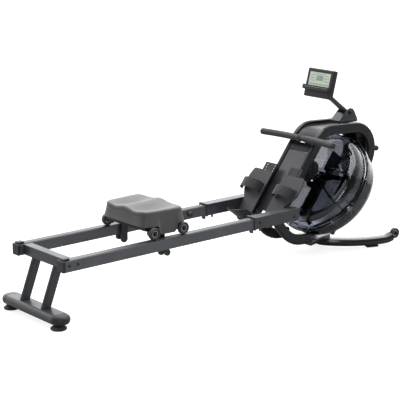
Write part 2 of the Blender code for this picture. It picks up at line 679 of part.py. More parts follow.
def seat_top(x, y):
    """Height of the seat's upper face: two hollows for the hips, a raised middle and lifted corners."""
    along = (x - SEAT_REAR) / (SEAT_FRONT - SEAT_REAR)
    across = abs(y) / (0.148 + 0.030 * along)
    hollow = math.exp(-((across - 0.50) / 0.26) ** 2) * math.exp(-((along - 0.42) / 0.40) ** 2)
    ridge = math.exp(-(across / 0.22) ** 2) * (0.35 + 0.65 * along)
    edge = max(0.0, across - 0.90) ** 2
    return 0.4135 - 0.017 * hollow + 0.008 * ridge - 0.25 * edge


def seat_outline(x_share, y_share):
    """Maps a square of -1 to 1 onto the seat's plan: wider at the front, with rounded corners."""
    round_x = x_share * math.sqrt(1.0 - 0.5 * abs(y_share) ** 6 * 0.16)
    round_y = y_share * math.sqrt(1.0 - 0.5 * abs(x_share) ** 6 * 0.26)
    along = (round_x + 1.0) / 2.0
    return along, round_y * (0.140 + 0.031 * along)


def build_seat():
    columns = 10
    rows = 14
    skirt = ((0.0, 0.0), (0.004, 0.006), (0.0075, 0.022), (0.010, None))
    build = bmesh.new()
    top = []
    for i in range(columns + 1):
        row = []
        for j in range(rows + 1):
            along, y = seat_outline(2 * i / columns - 1, 2 * j / rows - 1)
            x = SEAT_REAR + 0.009 + (SEAT_FRONT - SEAT_REAR - 0.018) * along
            row.append(build.verts.new((x, y, seat_top(x, y))))
        top.append(row)
    for i in range(columns):
        for j in range(rows):
            build.faces.new((top[i][j], top[i + 1][j], top[i + 1][j + 1], top[i][j + 1]))
    border = [(i, 0) for i in range(columns)] + [(columns, j) for j in range(rows)]
    border += [(i, rows) for i in range(columns, 0, -1)] + [(0, j) for j in range(rows, 0, -1)]
    rings = [[top[i][j] for i, j in border]]
    middle = Vector(((SEAT_REAR + SEAT_FRONT) / 2, 0.0, 0.0))
    for flare, drop in skirt[1:]:
        ring = []
        for vert in rings[0]:
            away = Vector((vert.co.x - middle.x, vert.co.y * 0.75, 0.0)).normalized()
            low = SEAT_BOTTOM if drop is None else vert.co.z - drop
            ring.append(build.verts.new((vert.co.x + away.x * flare, vert.co.y + away.y * flare, low)))
        rings.append(ring)
    count = len(border)
    for lower, upper in zip(rings, rings[1:]):
        for k in range(count):
            following = (k + 1) % count
            build.faces.new((lower[k], upper[k], upper[following], lower[following]))
    build.faces.new(rings[-1])
    pad = finish_mesh("seat_pad", build, PAINT["seat"], 50.0)
    skirts = []
    for side, sign in SIDES.items():
        low, high = sorted((sign * 0.148, sign * 0.1650))
        skirts.append(prism(f"seat_skirt_{side}", ((-0.4700, 0.3500), (-0.4640, 0.3030), (-0.3840, 0.3030),
                                                   (-0.3780, 0.3500)), low, high))
    join(pad, *skirts)

    carriage = box("seat_carriage", (-0.532, -0.143, 0.3255), (-0.333, 0.143, SEAT_BOTTOM - GAP),
                   PAINT["plastic"])
    parts = [box("carriage_skirt", (-0.470, -0.1455, 0.3160), (-0.377, 0.1455, 0.3400))]
    for side, sign in SIDES.items():
        low, high = sorted((sign * GUIDE_ARM_Y[0], sign * GUIDE_ARM_Y[1]))
        parts.append(box(f"guide_arm_{side}", (GUIDE_X - 0.018, low, GUIDE_Z - 0.012),
                         (GUIDE_X + 0.018, high, 0.330)))
        parts.append(rod(f"guide_foot_{side}", (GUIDE_X, low, GUIDE_Z - 0.004),
                         (GUIDE_X, high, GUIDE_Z - 0.004), 0.018, None, 20))
        parts.append(rod(f"guide_pin_{side}", (GUIDE_X, sign * 0.1340, GUIDE_Z),
                         (GUIDE_X, sign * 0.1870, GUIDE_Z), 0.005, None, 16))
        for number, x in enumerate(SEAT_WHEEL_X):
            parts.append(rod(f"wheel_pin_{side}_{number}", (x, sign * 0.1400, SEAT_WHEEL_Z),
                             (x, sign * 0.1840, SEAT_WHEEL_Z), 0.005, None, 16))
            parts.append(box(f"wheel_bracket_{side}_{number}",
                             (x - 0.012, min(sign * 0.134, sign * 0.1435), SEAT_WHEEL_Z - 0.012),
                             (x + 0.012, max(sign * 0.134, sign * 0.1435), 0.335)))
    join(carriage, *parts)

    for side, sign in SIDES.items():
        for end, x in zip(("rear", "front"), SEAT_WHEEL_X):
            place = Matrix.Translation((x, sign * RAIL_Y, SEAT_WHEEL_Z)) @ Matrix.Rotation(
                math.pi / 2, 4, "X")
            half = SEAT_WHEEL_WIDTH / 2
            wheel = turned(f"seat_wheel_{end}_{side}",
                           ((0.0053, -half), (0.024, -half), (SEAT_WHEEL_RADIUS, -half + 0.004),
                            (SEAT_WHEEL_RADIUS, half - 0.004), (0.024, half), (0.0053, half)),
                           place, PAINT["rubber"], 28)
            at_pivot(wheel, (x, sign * RAIL_Y, SEAT_WHEEL_Z))
        place = Matrix.Translation((GUIDE_X, sign * GUIDE_Y, GUIDE_Z)) @ Matrix.Rotation(
            math.pi / 2, 4, "X")
        half = 0.009
        roller = turned(f"guide_roller_{side}", ((0.0053, -half), (0.013, -half), (GUIDE_RADIUS, -0.006),
                                                 (GUIDE_RADIUS, 0.006), (0.013, half), (0.0053, half)),
                        place, PAINT["plastic"], 24)
        at_pivot(roller, (GUIDE_X, sign * GUIDE_Y, GUIDE_Z))


# --- foot rests ------------------------------------------------------------------------------

def sole_edges(s):
    """How far the foot rest reaches inwards and outwards of the foot's middle line at s."""
    places = (-0.390, -0.378, -0.350, -0.268, -0.250, -0.205, -0.150, -0.118, -0.108)
    inner = float(np.interp(s, places, (0.024, 0.042, 0.053, 0.053, 0.053, 0.053, 0.053, 0.053, 0.050)))
    outer = float(np.interp(s, places, (0.012, 0.030, 0.040, 0.0465, 0.061, 0.088, 0.088, 0.079, 0.072)))
    return inner, outer


def closed_sections(name, sections, paint, sharp=30.0):
    """A solid through sections of the same number of points, closed at both ends."""
    build = bmesh.new()
    rings = [[build.verts.new(point) for point in section] for section in sections]
    size = len(rings[0])
    for lower, upper in zip(rings, rings[1:]):
        for step in range(size):
            following = (step + 1) % size
            build.faces.new((lower[step], lower[following], upper[following], upper[step]))
    build.faces.new(rings[0][::-1])
    build.faces.new(rings[-1])
    return finish_mesh(name, build, paint, sharp)


def build_foot_rests():
    frame = slope_frame()
    for side, sign in SIDES.items():
        centre = sign * FOOT_Y
        low, high = sorted((sign * 0.047, sign * 0.127))
        plate = box(f"foot_plate_{side}", (-0.325, low, PLATE_H[0]), (-0.062, high, PLATE_H[1]),
                    PAINT["frame"], frame=frame)
        risers = []
        for number, s in enumerate((-0.125, -0.275)):
            low, high = sorted((sign * (HOOP_INNER + 0.001), sign * (HOOP_OUTER - 0.001)))
            risers.append(box(f"riser_{side}_{number}", (s - 0.016, low, HOOP_FACE + GAP),
                              (s + 0.016, high, PLATE_H[0] + 0.002), frame=frame))
        join(plate, *risers)
        holes = []
        for column in (0.061, 0.112):
            for row in range(3):
                spot = slope_frame(-0.0735 - row * HOLE_PITCH, sign * column, PLATE_H[0] - 0.004)
                holes.append(turned(f"hole_{side}_{row}_{column}",
                                    ((0.0, 0.0), (0.0042, 0.0), (0.0042, 0.02), (0.0, 0.02)), spot,
                                    None, 12, False))
        join(plate, *holes, cut=True)
        for index, modifier in enumerate(plate.modifiers):
            modifier.name = f"step_{index}"

        sections = []
        for s in (-0.390, -0.378, -0.350, -0.268, -0.250, -0.205, -0.150, -0.118, -0.108):
            inner, outer = sole_edges(s)
            ends = (centre - sign * inner, centre + sign * outer)
            sections.append([slope(s, y, h) for y, h in ((ends[0], SOLE_H[0]), (ends[1], SOLE_H[0]),
                                                         (ends[1], SOLE_H[1]), (ends[0], SOLE_H[1]))])
        rest = closed_sections(f"foot_rest_{side}", sections, PAINT["plastic"])
        cup_y = centre - sign * 0.006
        walls = []
        steps = 16
        for step in range(steps + 1):
            angle = math.pi * (0.5 + step / steps)
            back = max(0.0, -math.cos(angle))
            tall = 0.030 + 0.068 * back ** 0.7
            rings = ((-0.003, 0.0410), (tall, 0.0440), (tall, 0.0475), (-0.003, 0.0450))
            walls.append([slope(-0.341 - radius * back, cup_y + radius * math.sin(angle),
                                SOLE_H[1] + height) for height, radius in rings])
        join(rest, closed_sections(f"heel_cup_{side}", walls, None))
        at_pivot(rest, slope(-0.235, centre, SOLE_H[0]))

        strap_path = []
        inside = centre - sign * 0.0455
        outside = centre + sign * 0.0820
        for step in range(15):
            angle = math.pi * step / 14
            y = (inside + outside) / 2 + (outside - inside) / 2 * math.cos(angle)
            strap_path.append(slope(-0.2085, y, SOLE_H[1] + 0.0022 + 0.052 * math.sin(angle) ** 0.8))
        strap = sweep(f"foot_strap_{side}", strap_path,
                      [(-0.0012, -0.026), (0.0012, -0.026), (0.0012, 0.026), (-0.0012, 0.026)],
                      SLOPE_UP, PAINT["web"])
        at_pivot(strap, slope(-0.235, centre, SOLE_H[0]))


# --- monitor ---------------------------------------------------------------------------------

def monitor_frame():
    """X runs into the monitor from its face, Z up along the face, from the lower edge's middle."""
    return Matrix.Translation(MONITOR_FOOT) @ Matrix.Rotation(MONITOR_LEAN, 4, "Y")


def build_monitor():
    side_outline = ((0.787, 0.6385), (0.8420, 0.6870), (0.8500, 0.6930), (0.8660, 0.6960),
                    (0.8830, 0.6910), (0.8930, 0.6800), (0.9170, 0.6385))
    bracket = prism("monitor_bracket", side_outline, -0.0300, -0.0270, PAINT["frame"])
    far_side = prism("bracket_far_side", side_outline, 0.0270, 0.0300)
    web = prism("bracket_web", ((0.787, 0.6385), (0.8260, 0.6729), (0.8280, 0.6705), (0.7915, 0.6385)),
                -0.0290, 0.0290)
    base = box("bracket_base", (0.7880, -0.0300, 0.6370), (0.9165, 0.0300, 0.6400))
    pin = rod("bracket_pin", (ARM_PIVOT.x, -0.0330, ARM_PIVOT.z), (ARM_PIVOT.x, 0.0330, ARM_PIVOT.z),
              0.0050, None, 20)
    join(bracket, far_side, web, base, pin)

    end = Vector((0.7035, 0.0, 0.7900))
    along = (end - ARM_PIVOT).normalized()
    reach = (end - ARM_PIVOT).length
    turn = Matrix.Translation(ARM_PIVOT) @ along.to_track_quat("X", "Z").to_matrix().to_4x4()
    arm = box("monitor_arm", (-0.002, -0.0130, -0.0095), (reach, 0.0130, 0.0095), PAINT["frame"],
              0.003, 1, frame=turn)
    boss = rod("arm_boss", (ARM_PIVOT.x, -0.0255, ARM_PIVOT.z), (ARM_PIVOT.x, 0.0255, ARM_PIVOT.z),
               0.0125, None, 24)
    hole = rod("arm_bore", (ARM_PIVOT.x, -0.040, ARM_PIVOT.z), (ARM_PIVOT.x, 0.040, ARM_PIVOT.z),
               0.0053, None, 20)
    join(arm, boss)
    join(arm, hole, cut=True)
    arm.modifiers[-1].name = "bore"
    at_pivot(arm, ARM_PIVOT)

    frame = monitor_frame()
    depth, width, height = MONITOR_SIZE
    case = box("monitor_case", (0.0, -width / 2, 0.0), (depth, width / 2, height), PAINT["plastic"],
               0.006, 3, frame=frame)
    ledge = box("case_ledge", (-0.020, -0.084, 0.0330), (0.002, 0.084, 0.0500), None, 0.003, 1,
                frame=frame)
    join(case, ledge)
    recess = box("screen_recess", (-0.003, -0.0705, 0.0560), (0.0030, 0.0705, 0.1240), frame=frame)
    arm_end = ARM_PIVOT + along * (reach - 0.004)
    socket = box("arm_socket", (-0.012, -0.0134, -0.0099), (0.010, 0.0134, 0.0099),
                 frame=Matrix.Translation(arm_end) @ along.to_track_quat("X", "Z").to_matrix().to_4x4())
    wells = []
    buttons = {"left": -0.040, "right": -0.064}
    for name, y in buttons.items():
        wells.append(rod(f"button_well_{name}", frame @ Vector((-0.001, y, 0.017)),
                         frame @ Vector((0.0040, y, 0.017)), 0.0056, None, 20))
    join(case, recess, socket, *wells, cut=True)
    for index, modifier in enumerate(case.modifiers):
        modifier.name = f"step_{index}"
    box("monitor_screen", (0.0010, -0.0702, 0.0563), (0.0027, 0.0702, 0.1237), PAINT["screen"],
        frame=frame)
    for name, y in buttons.items():
        cap = rod(f"monitor_button_{name}", frame @ Vector((-0.0015, y, 0.017)),
                  frame @ Vector((0.0020, y, 0.017)), 0.0053, PAINT["plastic"], 20)
        at_pivot(cap, frame @ Vector((0.0, y, 0.017)))


def main():
    clear_scene()
    make_materials()
    build_rails()
    build_rear_stand()
    build_hoops()
    build_sleeves()
    build_covers()
    build_stabiliser()
    build_tank()
    build_drive()
    build_handle()
    build_seat()
    build_foot_rests()
    build_monitor()


main()
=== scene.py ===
"""Looks of a water rowing machine: its finishes, seat skin, water tank, wheels, straps and fittings.

Metres, +Z up, +X towards the tank, +Y to the left of the user. The slope is the inclined plane
across the tank: a place on it is (s, y, h), s metres up it from the tank's centre, y across it
and h out of it towards the user.
"""
import json
import math

import bmesh
import bpy
import numpy as np
from mathutils import Matrix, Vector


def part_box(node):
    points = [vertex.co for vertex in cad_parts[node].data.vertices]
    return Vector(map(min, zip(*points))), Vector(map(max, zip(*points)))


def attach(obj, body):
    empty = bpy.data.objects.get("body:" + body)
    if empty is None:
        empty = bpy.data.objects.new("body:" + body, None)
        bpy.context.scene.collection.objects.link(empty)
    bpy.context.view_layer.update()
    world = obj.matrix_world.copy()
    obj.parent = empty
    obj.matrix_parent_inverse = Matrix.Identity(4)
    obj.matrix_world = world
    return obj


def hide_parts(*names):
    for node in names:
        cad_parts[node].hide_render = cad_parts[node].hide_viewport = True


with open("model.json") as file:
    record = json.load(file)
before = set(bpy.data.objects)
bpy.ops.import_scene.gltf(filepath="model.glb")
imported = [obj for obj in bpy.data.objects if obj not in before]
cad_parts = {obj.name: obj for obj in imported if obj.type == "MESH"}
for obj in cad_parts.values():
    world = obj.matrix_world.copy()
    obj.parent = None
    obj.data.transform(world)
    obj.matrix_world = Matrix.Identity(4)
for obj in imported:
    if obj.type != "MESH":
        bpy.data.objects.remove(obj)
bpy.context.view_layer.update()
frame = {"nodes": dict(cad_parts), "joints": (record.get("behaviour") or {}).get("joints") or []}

JOINTS = {joint["name"]: joint for joint in frame["joints"]}
NODES = frame["nodes"]
SIDES = {"left": 1.0, "right": -1.0}
TANK = np.array(JOINTS["impeller_spin"]["pos_m"], float)
OUT = np.array(JOINTS["impeller_spin"]["axis"], float)
OUT /= np.linalg.norm(OUT)
ACROSS = np.array([0.0, 1.0, 0.0])
UP = np.cross(ACROSS, OUT)
GAP = 0.0003  # clearance between pieces that touch


# --- places ----------------------------------------------------------------------------------

def on_slope(s, y, h):
    """World points of places on the slope, given as arrays that broadcast together."""
    s, y, h = np.broadcast_arrays(np.asarray(s, float), np.asarray(y, float), np.asarray(h, float))
    return TANK + s[..., None] * UP + y[..., None] * ACROSS + h[..., None] * OUT


def corners_of(node):
    """The lowest and highest corner of a node, as arrays."""
    low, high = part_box(node)
    return np.array(low), np.array(high)


def mesh_points(mesh):
    """The points of a mesh, one per row."""
    points = np.empty(len(mesh.vertices) * 3)
    mesh.vertices.foreach_get("co", points)
    return points.reshape(-1, 3)


def slope_range(node):
    """The lowest and highest (s, y, h) of a node."""
    away = mesh_points(NODES[node].data) - TANK
    placed = np.stack([away @ UP, away @ ACROSS, away @ OUT], axis=-1)
    return placed.min(0), placed.max(0)


def reach_and_depth(node):
    """The largest distance of a node from the tank's axis, and its lowest and highest h."""
    away = mesh_points(NODES[node].data) - TANK
    depth = away @ OUT
    radius = np.linalg.norm(away - depth[:, None] * OUT, axis=1)
    return radius.max(), depth.min(), depth.max()


# --- surfaces --------------------------------------------------------------------------------

def grid_faces(grid, close_rows=False):
    """The quads between neighbouring rows and columns of a grid of points whose rows are closed."""
    rows, columns = grid.shape[:2]
    i, j = np.meshgrid(np.arange(rows if close_rows else rows - 1), np.arange(columns), indexing="ij")
    next_i = (i + 1) % rows
    next_j = (j + 1) % columns
    corners = (i * columns + j, i * columns + next_j, next_i * columns + next_j, next_i * columns + j)
    return np.stack(corners, axis=-1).reshape(-1, 4)


def make_piece(name, points, faces, material, body, slot, replaces=(), sharp=35.0):
    """A smooth-shaded object with outward faces that rides on a body.

    Points that fall together, as at a pole or a seam, are merged, and faces left without area go.
    """
    mesh = bpy.data.meshes.new(name)
    mesh.from_pydata(points.reshape(-1, 3).tolist(), [], [list(face) for face in faces])
    build = bmesh.new()
    build.from_mesh(mesh)
    bmesh.ops.remove_doubles(build, verts=build.verts, dist=2e-6)
    bmesh.ops.dissolve_degenerate(build, edges=build.edges, dist=1e-6)
    bmesh.ops.recalc_face_normals(build, faces=build.faces)
    build.to_mesh(mesh)
    build.free()
    mesh.shade_smooth()
    mesh.set_sharp_from_angle(angle=math.radians(sharp))
    piece = bpy.data.objects.new(name, mesh)
    bpy.context.scene.collection.objects.link(piece)
    mesh.materials.append(material)
    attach(piece, body)
    if replaces:
        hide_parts(*replaces)
    return piece


def soften(corners, reach, steps=5, closed=True):
    """An outline whose corners become quadratic arcs: each starts and ends `reach` from its corner."""
    corners = np.asarray(corners, float)
    reach = np.broadcast_to(reach, len(corners))[:, None]

    def toward(others):
        away = others - corners
        length = np.linalg.norm(away, axis=1, keepdims=True)
        return corners + away / length * np.minimum(reach, 0.46 * length)

    first = toward(np.roll(corners, 1, axis=0))[:, None]
    last = toward(np.roll(corners, -1, axis=0))[:, None]
    t = np.linspace(0.0, 1.0, steps + 1)[None, :, None]
    arcs = (1 - t) ** 2 * first + 2 * t * (1 - t) * corners[:, None] + t * t * last
    if not closed:
        arcs[0] = corners[0]
        arcs[-1] = corners[-1]
    return arcs.reshape(-1, 2)


def basis_round(axis):
    """Two unit directions square to an axis, and the axis itself at unit length."""
    axis = np.asarray(axis, float)
    axis = axis / np.linalg.norm(axis)
    helper = np.array([0.0, 0.0, 1.0]) if abs(axis[2]) < 0.9 else np.array([1.0, 0.0, 0.0])
    first = np.cross(helper, axis)
    first /= np.linalg.norm(first)
    return first, np.cross(axis, first), axis


def revolve(profile, centre, axis, steps=64, flats=0):
    """Grid of a (radius, height) profile turned about an axis through centre.

    With flats, every radius is scaled round the turn by cos(half) / cos(turn from the flat's
    middle), which makes a prism with that many sides.
    """
    first, second, axis = basis_round(axis)
    turn = np.linspace(0.0, math.tau, steps, endpoint=False)
    scale = np.ones(steps)
    if flats:
        half = math.pi / flats
        scale = math.cos(half) / np.cos((turn + half) % (2 * half) - half)
    profile = np.asarray(profile, float)
    ring = np.cos(turn)[:, None] * first + np.sin(turn)[:, None] * second
    return (np.asarray(centre, float) + profile[:, 0][:, None, None] * (scale[:, None] * ring)[None]
            + profile[:, 1][:, None, None] * axis)


def turned_piece(name, profile, centre, axis, material, body, slot, steps=64, ring=False,
                 replaces=(), sharp=35.0):
    """A turned solid: a ring when its profile is closed, or one that starts and ends on the axis."""
    points = revolve(profile, centre, axis, steps)
    return make_piece(name, points, grid_faces(points, ring), material, body, slot, replaces, sharp)


def carry(path, section, side):
    """Grid of a closed section carried along a path, its second axis held towards `side`."""
    path = np.asarray(path, float)
    along = np.gradient(path, axis=0)
    along /= np.linalg.norm(along, axis=1, keepdims=True)
    across = np.cross(along, np.asarray(side, float))
    across /= np.linalg.norm(across, axis=1, keepdims=True)
    second = np.cross(across, along)
    section = np.asarray(section, float)
    if section.ndim == 2:
        section = np.broadcast_to(section, (len(path), *section.shape))
    return (path[:, None] + across[:, None] * section[..., 0:1] + second[:, None] * section[..., 1:2])


def capped_faces(grid):
    """Faces of a tube grid with a flat face at each end."""
    rows, columns = grid.shape[:2]
    faces = grid_faces(grid).tolist()
    faces.append(list(range(columns - 1, -1, -1)))
    faces.append(list(range((rows - 1) * columns, rows * columns)))
    return faces


def joined_piece(name, parts, material, body, slot):
    """One object of several closed shapes, each given as its points and faces."""
    points = []
    faces = []
    for part_points, part_faces in parts:
        start = sum(len(p) for p in points)
        points.append(part_points.reshape(-1, 3))
        faces += [[start + index for index in face] for face in part_faces]
    make_piece(name, np.concatenate(points), faces, material, body, slot)


def rounded_rectangle(width, height, radius, steps=6):
    """The outline of a rectangle with quadratic corners, round the origin."""
    half = np.array([[1, 1], [-1, 1], [-1, -1], [1, -1]]) * (width / 2, height / 2)
    return soften(half, radius * 1.2, steps)


def block(low, high, radius, axes=None, centre=None):
    """A block with rounded upright edges and softly rolled rims, as a grid with faces.

    Its outline shrinks by r(1 - cos a) while its height moves by r sin a towards each end.
    """
    low = np.asarray(low, float)
    high = np.asarray(high, float)
    size = high - low
    lean = np.linspace(0.0, math.pi / 2, 4)
    inset = radius * (1 - np.cos(lean))
    rise = radius * np.sin(lean)
    insets = np.concatenate([inset[::-1], inset])
    heights = np.concatenate([-(size[2] / 2 - radius) - rise[::-1], size[2] / 2 - radius + rise])
    outline = rounded_rectangle(size[0], size[1], min(radius * 2, min(size[:2]) / 2.1))
    shrink = 1 - 2 * insets[:, None] / size[:2]
    flat = outline[None] * shrink[:, None]
    local = np.concatenate([flat, np.broadcast_to(heights[:, None, None], (*flat.shape[:2], 1))], axis=-1)
    local = local + (low + high) / 2
    if axes is not None:
        local = np.asarray(centre, float) + local @ np.asarray(axes, float)
    return local, capped_faces(local)


# --- node groups and materials ---------------------------------------------------------------

def feed(tree, node, values):
    """Gives a node's inputs their values: a socket is linked, and anything else is set."""
    for key, value in values.items():
        target = node.inputs[key]
        if isinstance(value, bpy.types.NodeSocket):
            tree.links.new(value, target)
        else:
            target.default_value = (*value, 1.0) if target.type == "RGBA" else value


def add_node(tree, kind, values=None, **settings):
    """A node with its settings and the values of its inputs."""
    made = tree.nodes.new(kind)
    for key, value in settings.items():
        setattr(made, key, value)
    feed(tree, made, values or {})
    return made


def start_group(name, inputs, outputs):
    """A node group with those numbers in and out: its tree, its given sockets and its output node."""
    tree = bpy.data.node_groups.new(name, "ShaderNodeTree")
    for label, value in inputs.items():
        socket = tree.interface.new_socket(label, in_out="INPUT", socket_type="NodeSocketFloat")
        socket.default_value = value
    for label in outputs:
        tree.interface.new_socket(label, in_out="OUTPUT", socket_type="NodeSocketFloat")
    return tree, tree.nodes.new("NodeGroupInput").outputs, tree.nodes.new("NodeGroupOutput")


def use_group(tree, group, values=None):
    """The outputs of a group used with its own values."""
    return add_node(tree, "ShaderNodeGroup", values, node_tree=group).outputs


def math_node(tree, operation, first, second, clamp=False):
    """The result of a Math node for two sockets or numbers."""
    values = {0: first, 1: second}
    return add_node(tree, "ShaderNodeMath", values, operation=operation, use_clamp=clamp).outputs[0]


def noise(tree, place, scale, detail, roughness=0.5):
    """The value of a noise texture."""
    values = {"Vector": place, "Scale": scale, "Detail": detail, "Roughness": roughness}
    return add_node(tree, "ShaderNodeTexNoise", values).outputs["Fac"]


def ranged(tree, source, low, high, to_low=0.0, to_high=1.0):
    """A number that goes from to_low to to_high as the source goes from low to high."""
    values = {"Value": source, "From Min": low, "From Max": high, "To Min": to_low, "To Max": to_high}
    return add_node(tree, "ShaderNodeMapRange", values).outputs["Result"]


def spread(tree, source, low=0.0, high=1.0):
    """A number from low to high as a noise goes through its middle range."""
    return ranged(tree, source, 0.3, 0.7, low, high)


def object_coordinates(tree, stretch=(1.0, 1.0, 1.0)):
    """Object coordinates, stretched by a Mapping node."""
    place = add_node(tree, "ShaderNodeTexCoord").outputs["Object"]
    return add_node(tree, "ShaderNodeMapping", {"Vector": place, "Scale": stretch}).outputs["Vector"]


def grain_group():
    """Moulded or coated grain: small cells and fine noise as a height, and slow mottling."""
    tree, given, result = start_group("fine_grain", {"Cells": 900.0, "Mottle Scale": 9.0},
                                      ["Height", "Mottle"])
    place = object_coordinates(tree)
    cells = add_node(tree, "ShaderNodeTexVoronoi",
                     {"Vector": place, "Scale": given["Cells"], "Randomness": 1.0}, feature="SMOOTH_F1")
    fine = noise(tree, place, given["Cells"], 3.0)
    feed(tree, result, {"Height": math_node(tree, "ADD", cells.outputs["Distance"], fine),
                        "Mottle": noise(tree, place, given["Mottle Scale"], 4.0, 0.6)})
    return tree


def masked(tree, given, result, first, second):
    """Feeds a group's mask: two numbers multiplied, times the group's amount."""
    both = math_node(tree, "MULTIPLY", first, second)
    feed(tree, result, {"Mask": math_node(tree, "MULTIPLY", both, given["Amount"], True)})
    return tree


def wear_group():
    """Scuffs: short streaks of noise that show only inside slow patches."""
    tree, given, result = start_group("handling_scuffs", {"Amount": 0.5, "Streak Scale": 60.0}, ["Mask"])
    streak = noise(tree, object_coordinates(tree, (0.35, 1.0, 1.6)), given["Streak Scale"], 5.0, 0.7)
    patch = noise(tree, object_coordinates(tree), 11.0, 2.0)
    return masked(tree, given, result, ranged(tree, streak, 0.56, 0.72), ranged(tree, patch, 0.48, 0.68))


def dust_group():
    """Dust on faces that look up, broken by noise."""
    tree, given, result = start_group("settled_dust", {"Amount": 0.3}, ["Mask"])
    normal = add_node(tree, "ShaderNodeNewGeometry").outputs["Normal"]
    upward = add_node(tree, "ShaderNodeSeparateXYZ", {"Vector": normal}).outputs["Z"]
    specks = noise(tree, object_coordinates(tree), 85.0, 6.0, 0.75)
    return masked(tree, given, result, ranged(tree, upward, 0.35, 1.0), ranged(tree, specks, 0.35, 0.75))


def weave_group():
    """Webbing on the UV map: warp ribs that run along the strap, crossed by picks. Shade paints shade in the
    hollows and a highlight on the crowns.
    """
    tree, given, result = start_group("webbing_weave", {"Ribs": 26.0, "Picks": 90.0}, ["Height", "Shade"])
    place = add_node(tree, "ShaderNodeUVMap").outputs["UV"]
    parts = add_node(tree, "ShaderNodeSeparateXYZ", {"Vector": place}).outputs

    def wave(source, count, shift=0.0):
        turns = math_node(tree, "MULTIPLY", math_node(tree, "MULTIPLY", source, count), math.tau)
        return math_node(tree, "SINE", math_node(tree, "ADD", turns, shift), 0.0)

    ribs = wave(parts["Y"], given["Ribs"])
    picks = wave(parts["X"], given["Picks"], math_node(tree, "MULTIPLY", ribs, math.pi / 2))
    height = math_node(tree, "ADD", math_node(tree, "MULTIPLY", picks, 0.6), ribs)
    feed(tree, result, {"Height": height, "Shade": ranged(tree, height, -1.6, 1.6)})
    return tree


def brushed_group():
    """Fine lines along X and wider bands: noise squeezed across them, as a height and a mask."""
    tree, given, result = start_group("brushed_lines", {"Lines": 900.0}, ["Height", "Mask"])
    lines = noise(tree, object_coordinates(tree, (0.012, 1.0, 1.0)), given["Lines"], 3.0)
    bands = noise(tree, object_coordinates(tree, (0.02, 1.0, 1.0)), 120.0, 2.0)
    feed(tree, result, {"Height": lines, "Mask": bands})
    return tree


GRAIN = grain_group()
SCUFFS = wear_group()
DUST = dust_group()
WEAVE = weave_group()
BRUSHED = brushed_group()
DUST_COLOUR = (0.42, 0.41, 0.39)
MOTTLE = 0.12  # how far a solid finish's colour strays, as a share of it


def start_material(name, colour, roughness, metallic=0.0):
    """A material with a Principled shader, its colour also set for flat previews."""
    made = bpy.data.materials.new(name)
    made.use_nodes = True
    made.diffuse_color = (*colour, 1.0)
    tree = made.node_tree
    shader = tree.nodes["Principled BSDF"]
    feed(tree, shader, {"Base Color": colour, "Roughness": roughness, "Metallic": metallic})
    return made, tree, shader


def blend_colour(tree, factor, first, second):
    """A colour between two, each a socket or a colour, by a factor socket."""
    values = {"Factor": factor, 6: first, 7: second}
    return add_node(tree, "ShaderNodeMix", values, data_type="RGBA").outputs[2]


def tinted(colour, factor, lift=0.0):
    """A colour made lighter or darker, each part at most 1."""
    return tuple(min(1.0, value * factor + lift) for value in colour)


def add_bump(tree, shader, height, strength, distance):
    """Feeds a height into the shader's normal."""
    values = {"Height": height, "Strength": strength, "Distance": distance}
    feed(tree, shader, {"Normal": add_node(tree, "ShaderNodeBump", values).outputs["Normal"]})


def surface(name, colour, roughness, cells, bump, depth=0.0002, metallic=0.0, scuff=0.4, dust=0.1,
            coat=0.0, specular=0.5, sheen=0.0):
    """A used solid finish: grain, slow mottling, scuffs that change colour and gloss, and dust."""
    made, tree, shader = start_material(name, colour, roughness, metallic)
    grain = use_group(tree, GRAIN, {"Cells": cells})
    marks = use_group(tree, SCUFFS, {"Amount": scuff})["Mask"]
    dusty = use_group(tree, DUST, {"Amount": dust})["Mask"]
    mixed = blend_colour(tree, spread(tree, grain["Mottle"]), tinted(colour, 1 - MOTTLE),
                         tinted(colour, 1 + MOTTLE))
    mixed = blend_colour(tree, marks, mixed, tinted(colour, 2.1, 0.02))
    mixed = blend_colour(tree, dusty, mixed, DUST_COLOUR)
    gloss = spread(tree, grain["Mottle"], roughness - 0.06, roughness + 0.06)
    for mask, dulling in ((marks, 0.12), (dusty, 0.35)):
        gloss = math_node(tree, "ADD", gloss, math_node(tree, "MULTIPLY", mask, dulling), True)
    feed(tree, shader, {"Base Color": mixed, "Roughness": gloss, "Coat Weight": coat,
                        "Coat Roughness": 0.08, "Specular IOR Level": specular, "Sheen Weight": sheen})
    add_bump(tree, shader, grain["Height"], bump, depth)
    return made


def brushed_strip(name, colour, roughness):
    """Rolled steel: fine lines along X, and wider bands that change its colour and gloss."""
    made, tree, shader = start_material(name, colour, roughness, 1.0)
    lines = use_group(tree, BRUSHED)
    feed(tree, shader, {
        "Base Color": blend_colour(tree, spread(tree, lines["Mask"]), tinted(colour, 0.88), colour),
        "Roughness": spread(tree, lines["Mask"], roughness - 0.08, roughness + 0.1)})
    add_bump(tree, shader, lines["Height"], 0.15, 0.0001)
    return made


def clear_plastic(name, tint, roughness, index, waviness):
    """Clear moulded plastic: slow flow waves and faint handling smears in its gloss."""
    made, tree, shader = start_material(name, tint, roughness)
    mottle = use_group(tree, GRAIN, {"Cells": 60.0, "Mottle Scale": 14.0})["Mottle"]
    feed(tree, shader, {
        "Transmission Weight": 1.0, "IOR": index,
        "Roughness": spread(tree, mottle, roughness * 0.6, roughness * 1.8),
        "Base Color": blend_colour(tree, spread(tree, mottle), tinted(tint, 0.94), tint)})
    add_bump(tree, shader, mottle, waviness, 0.004)
    return made


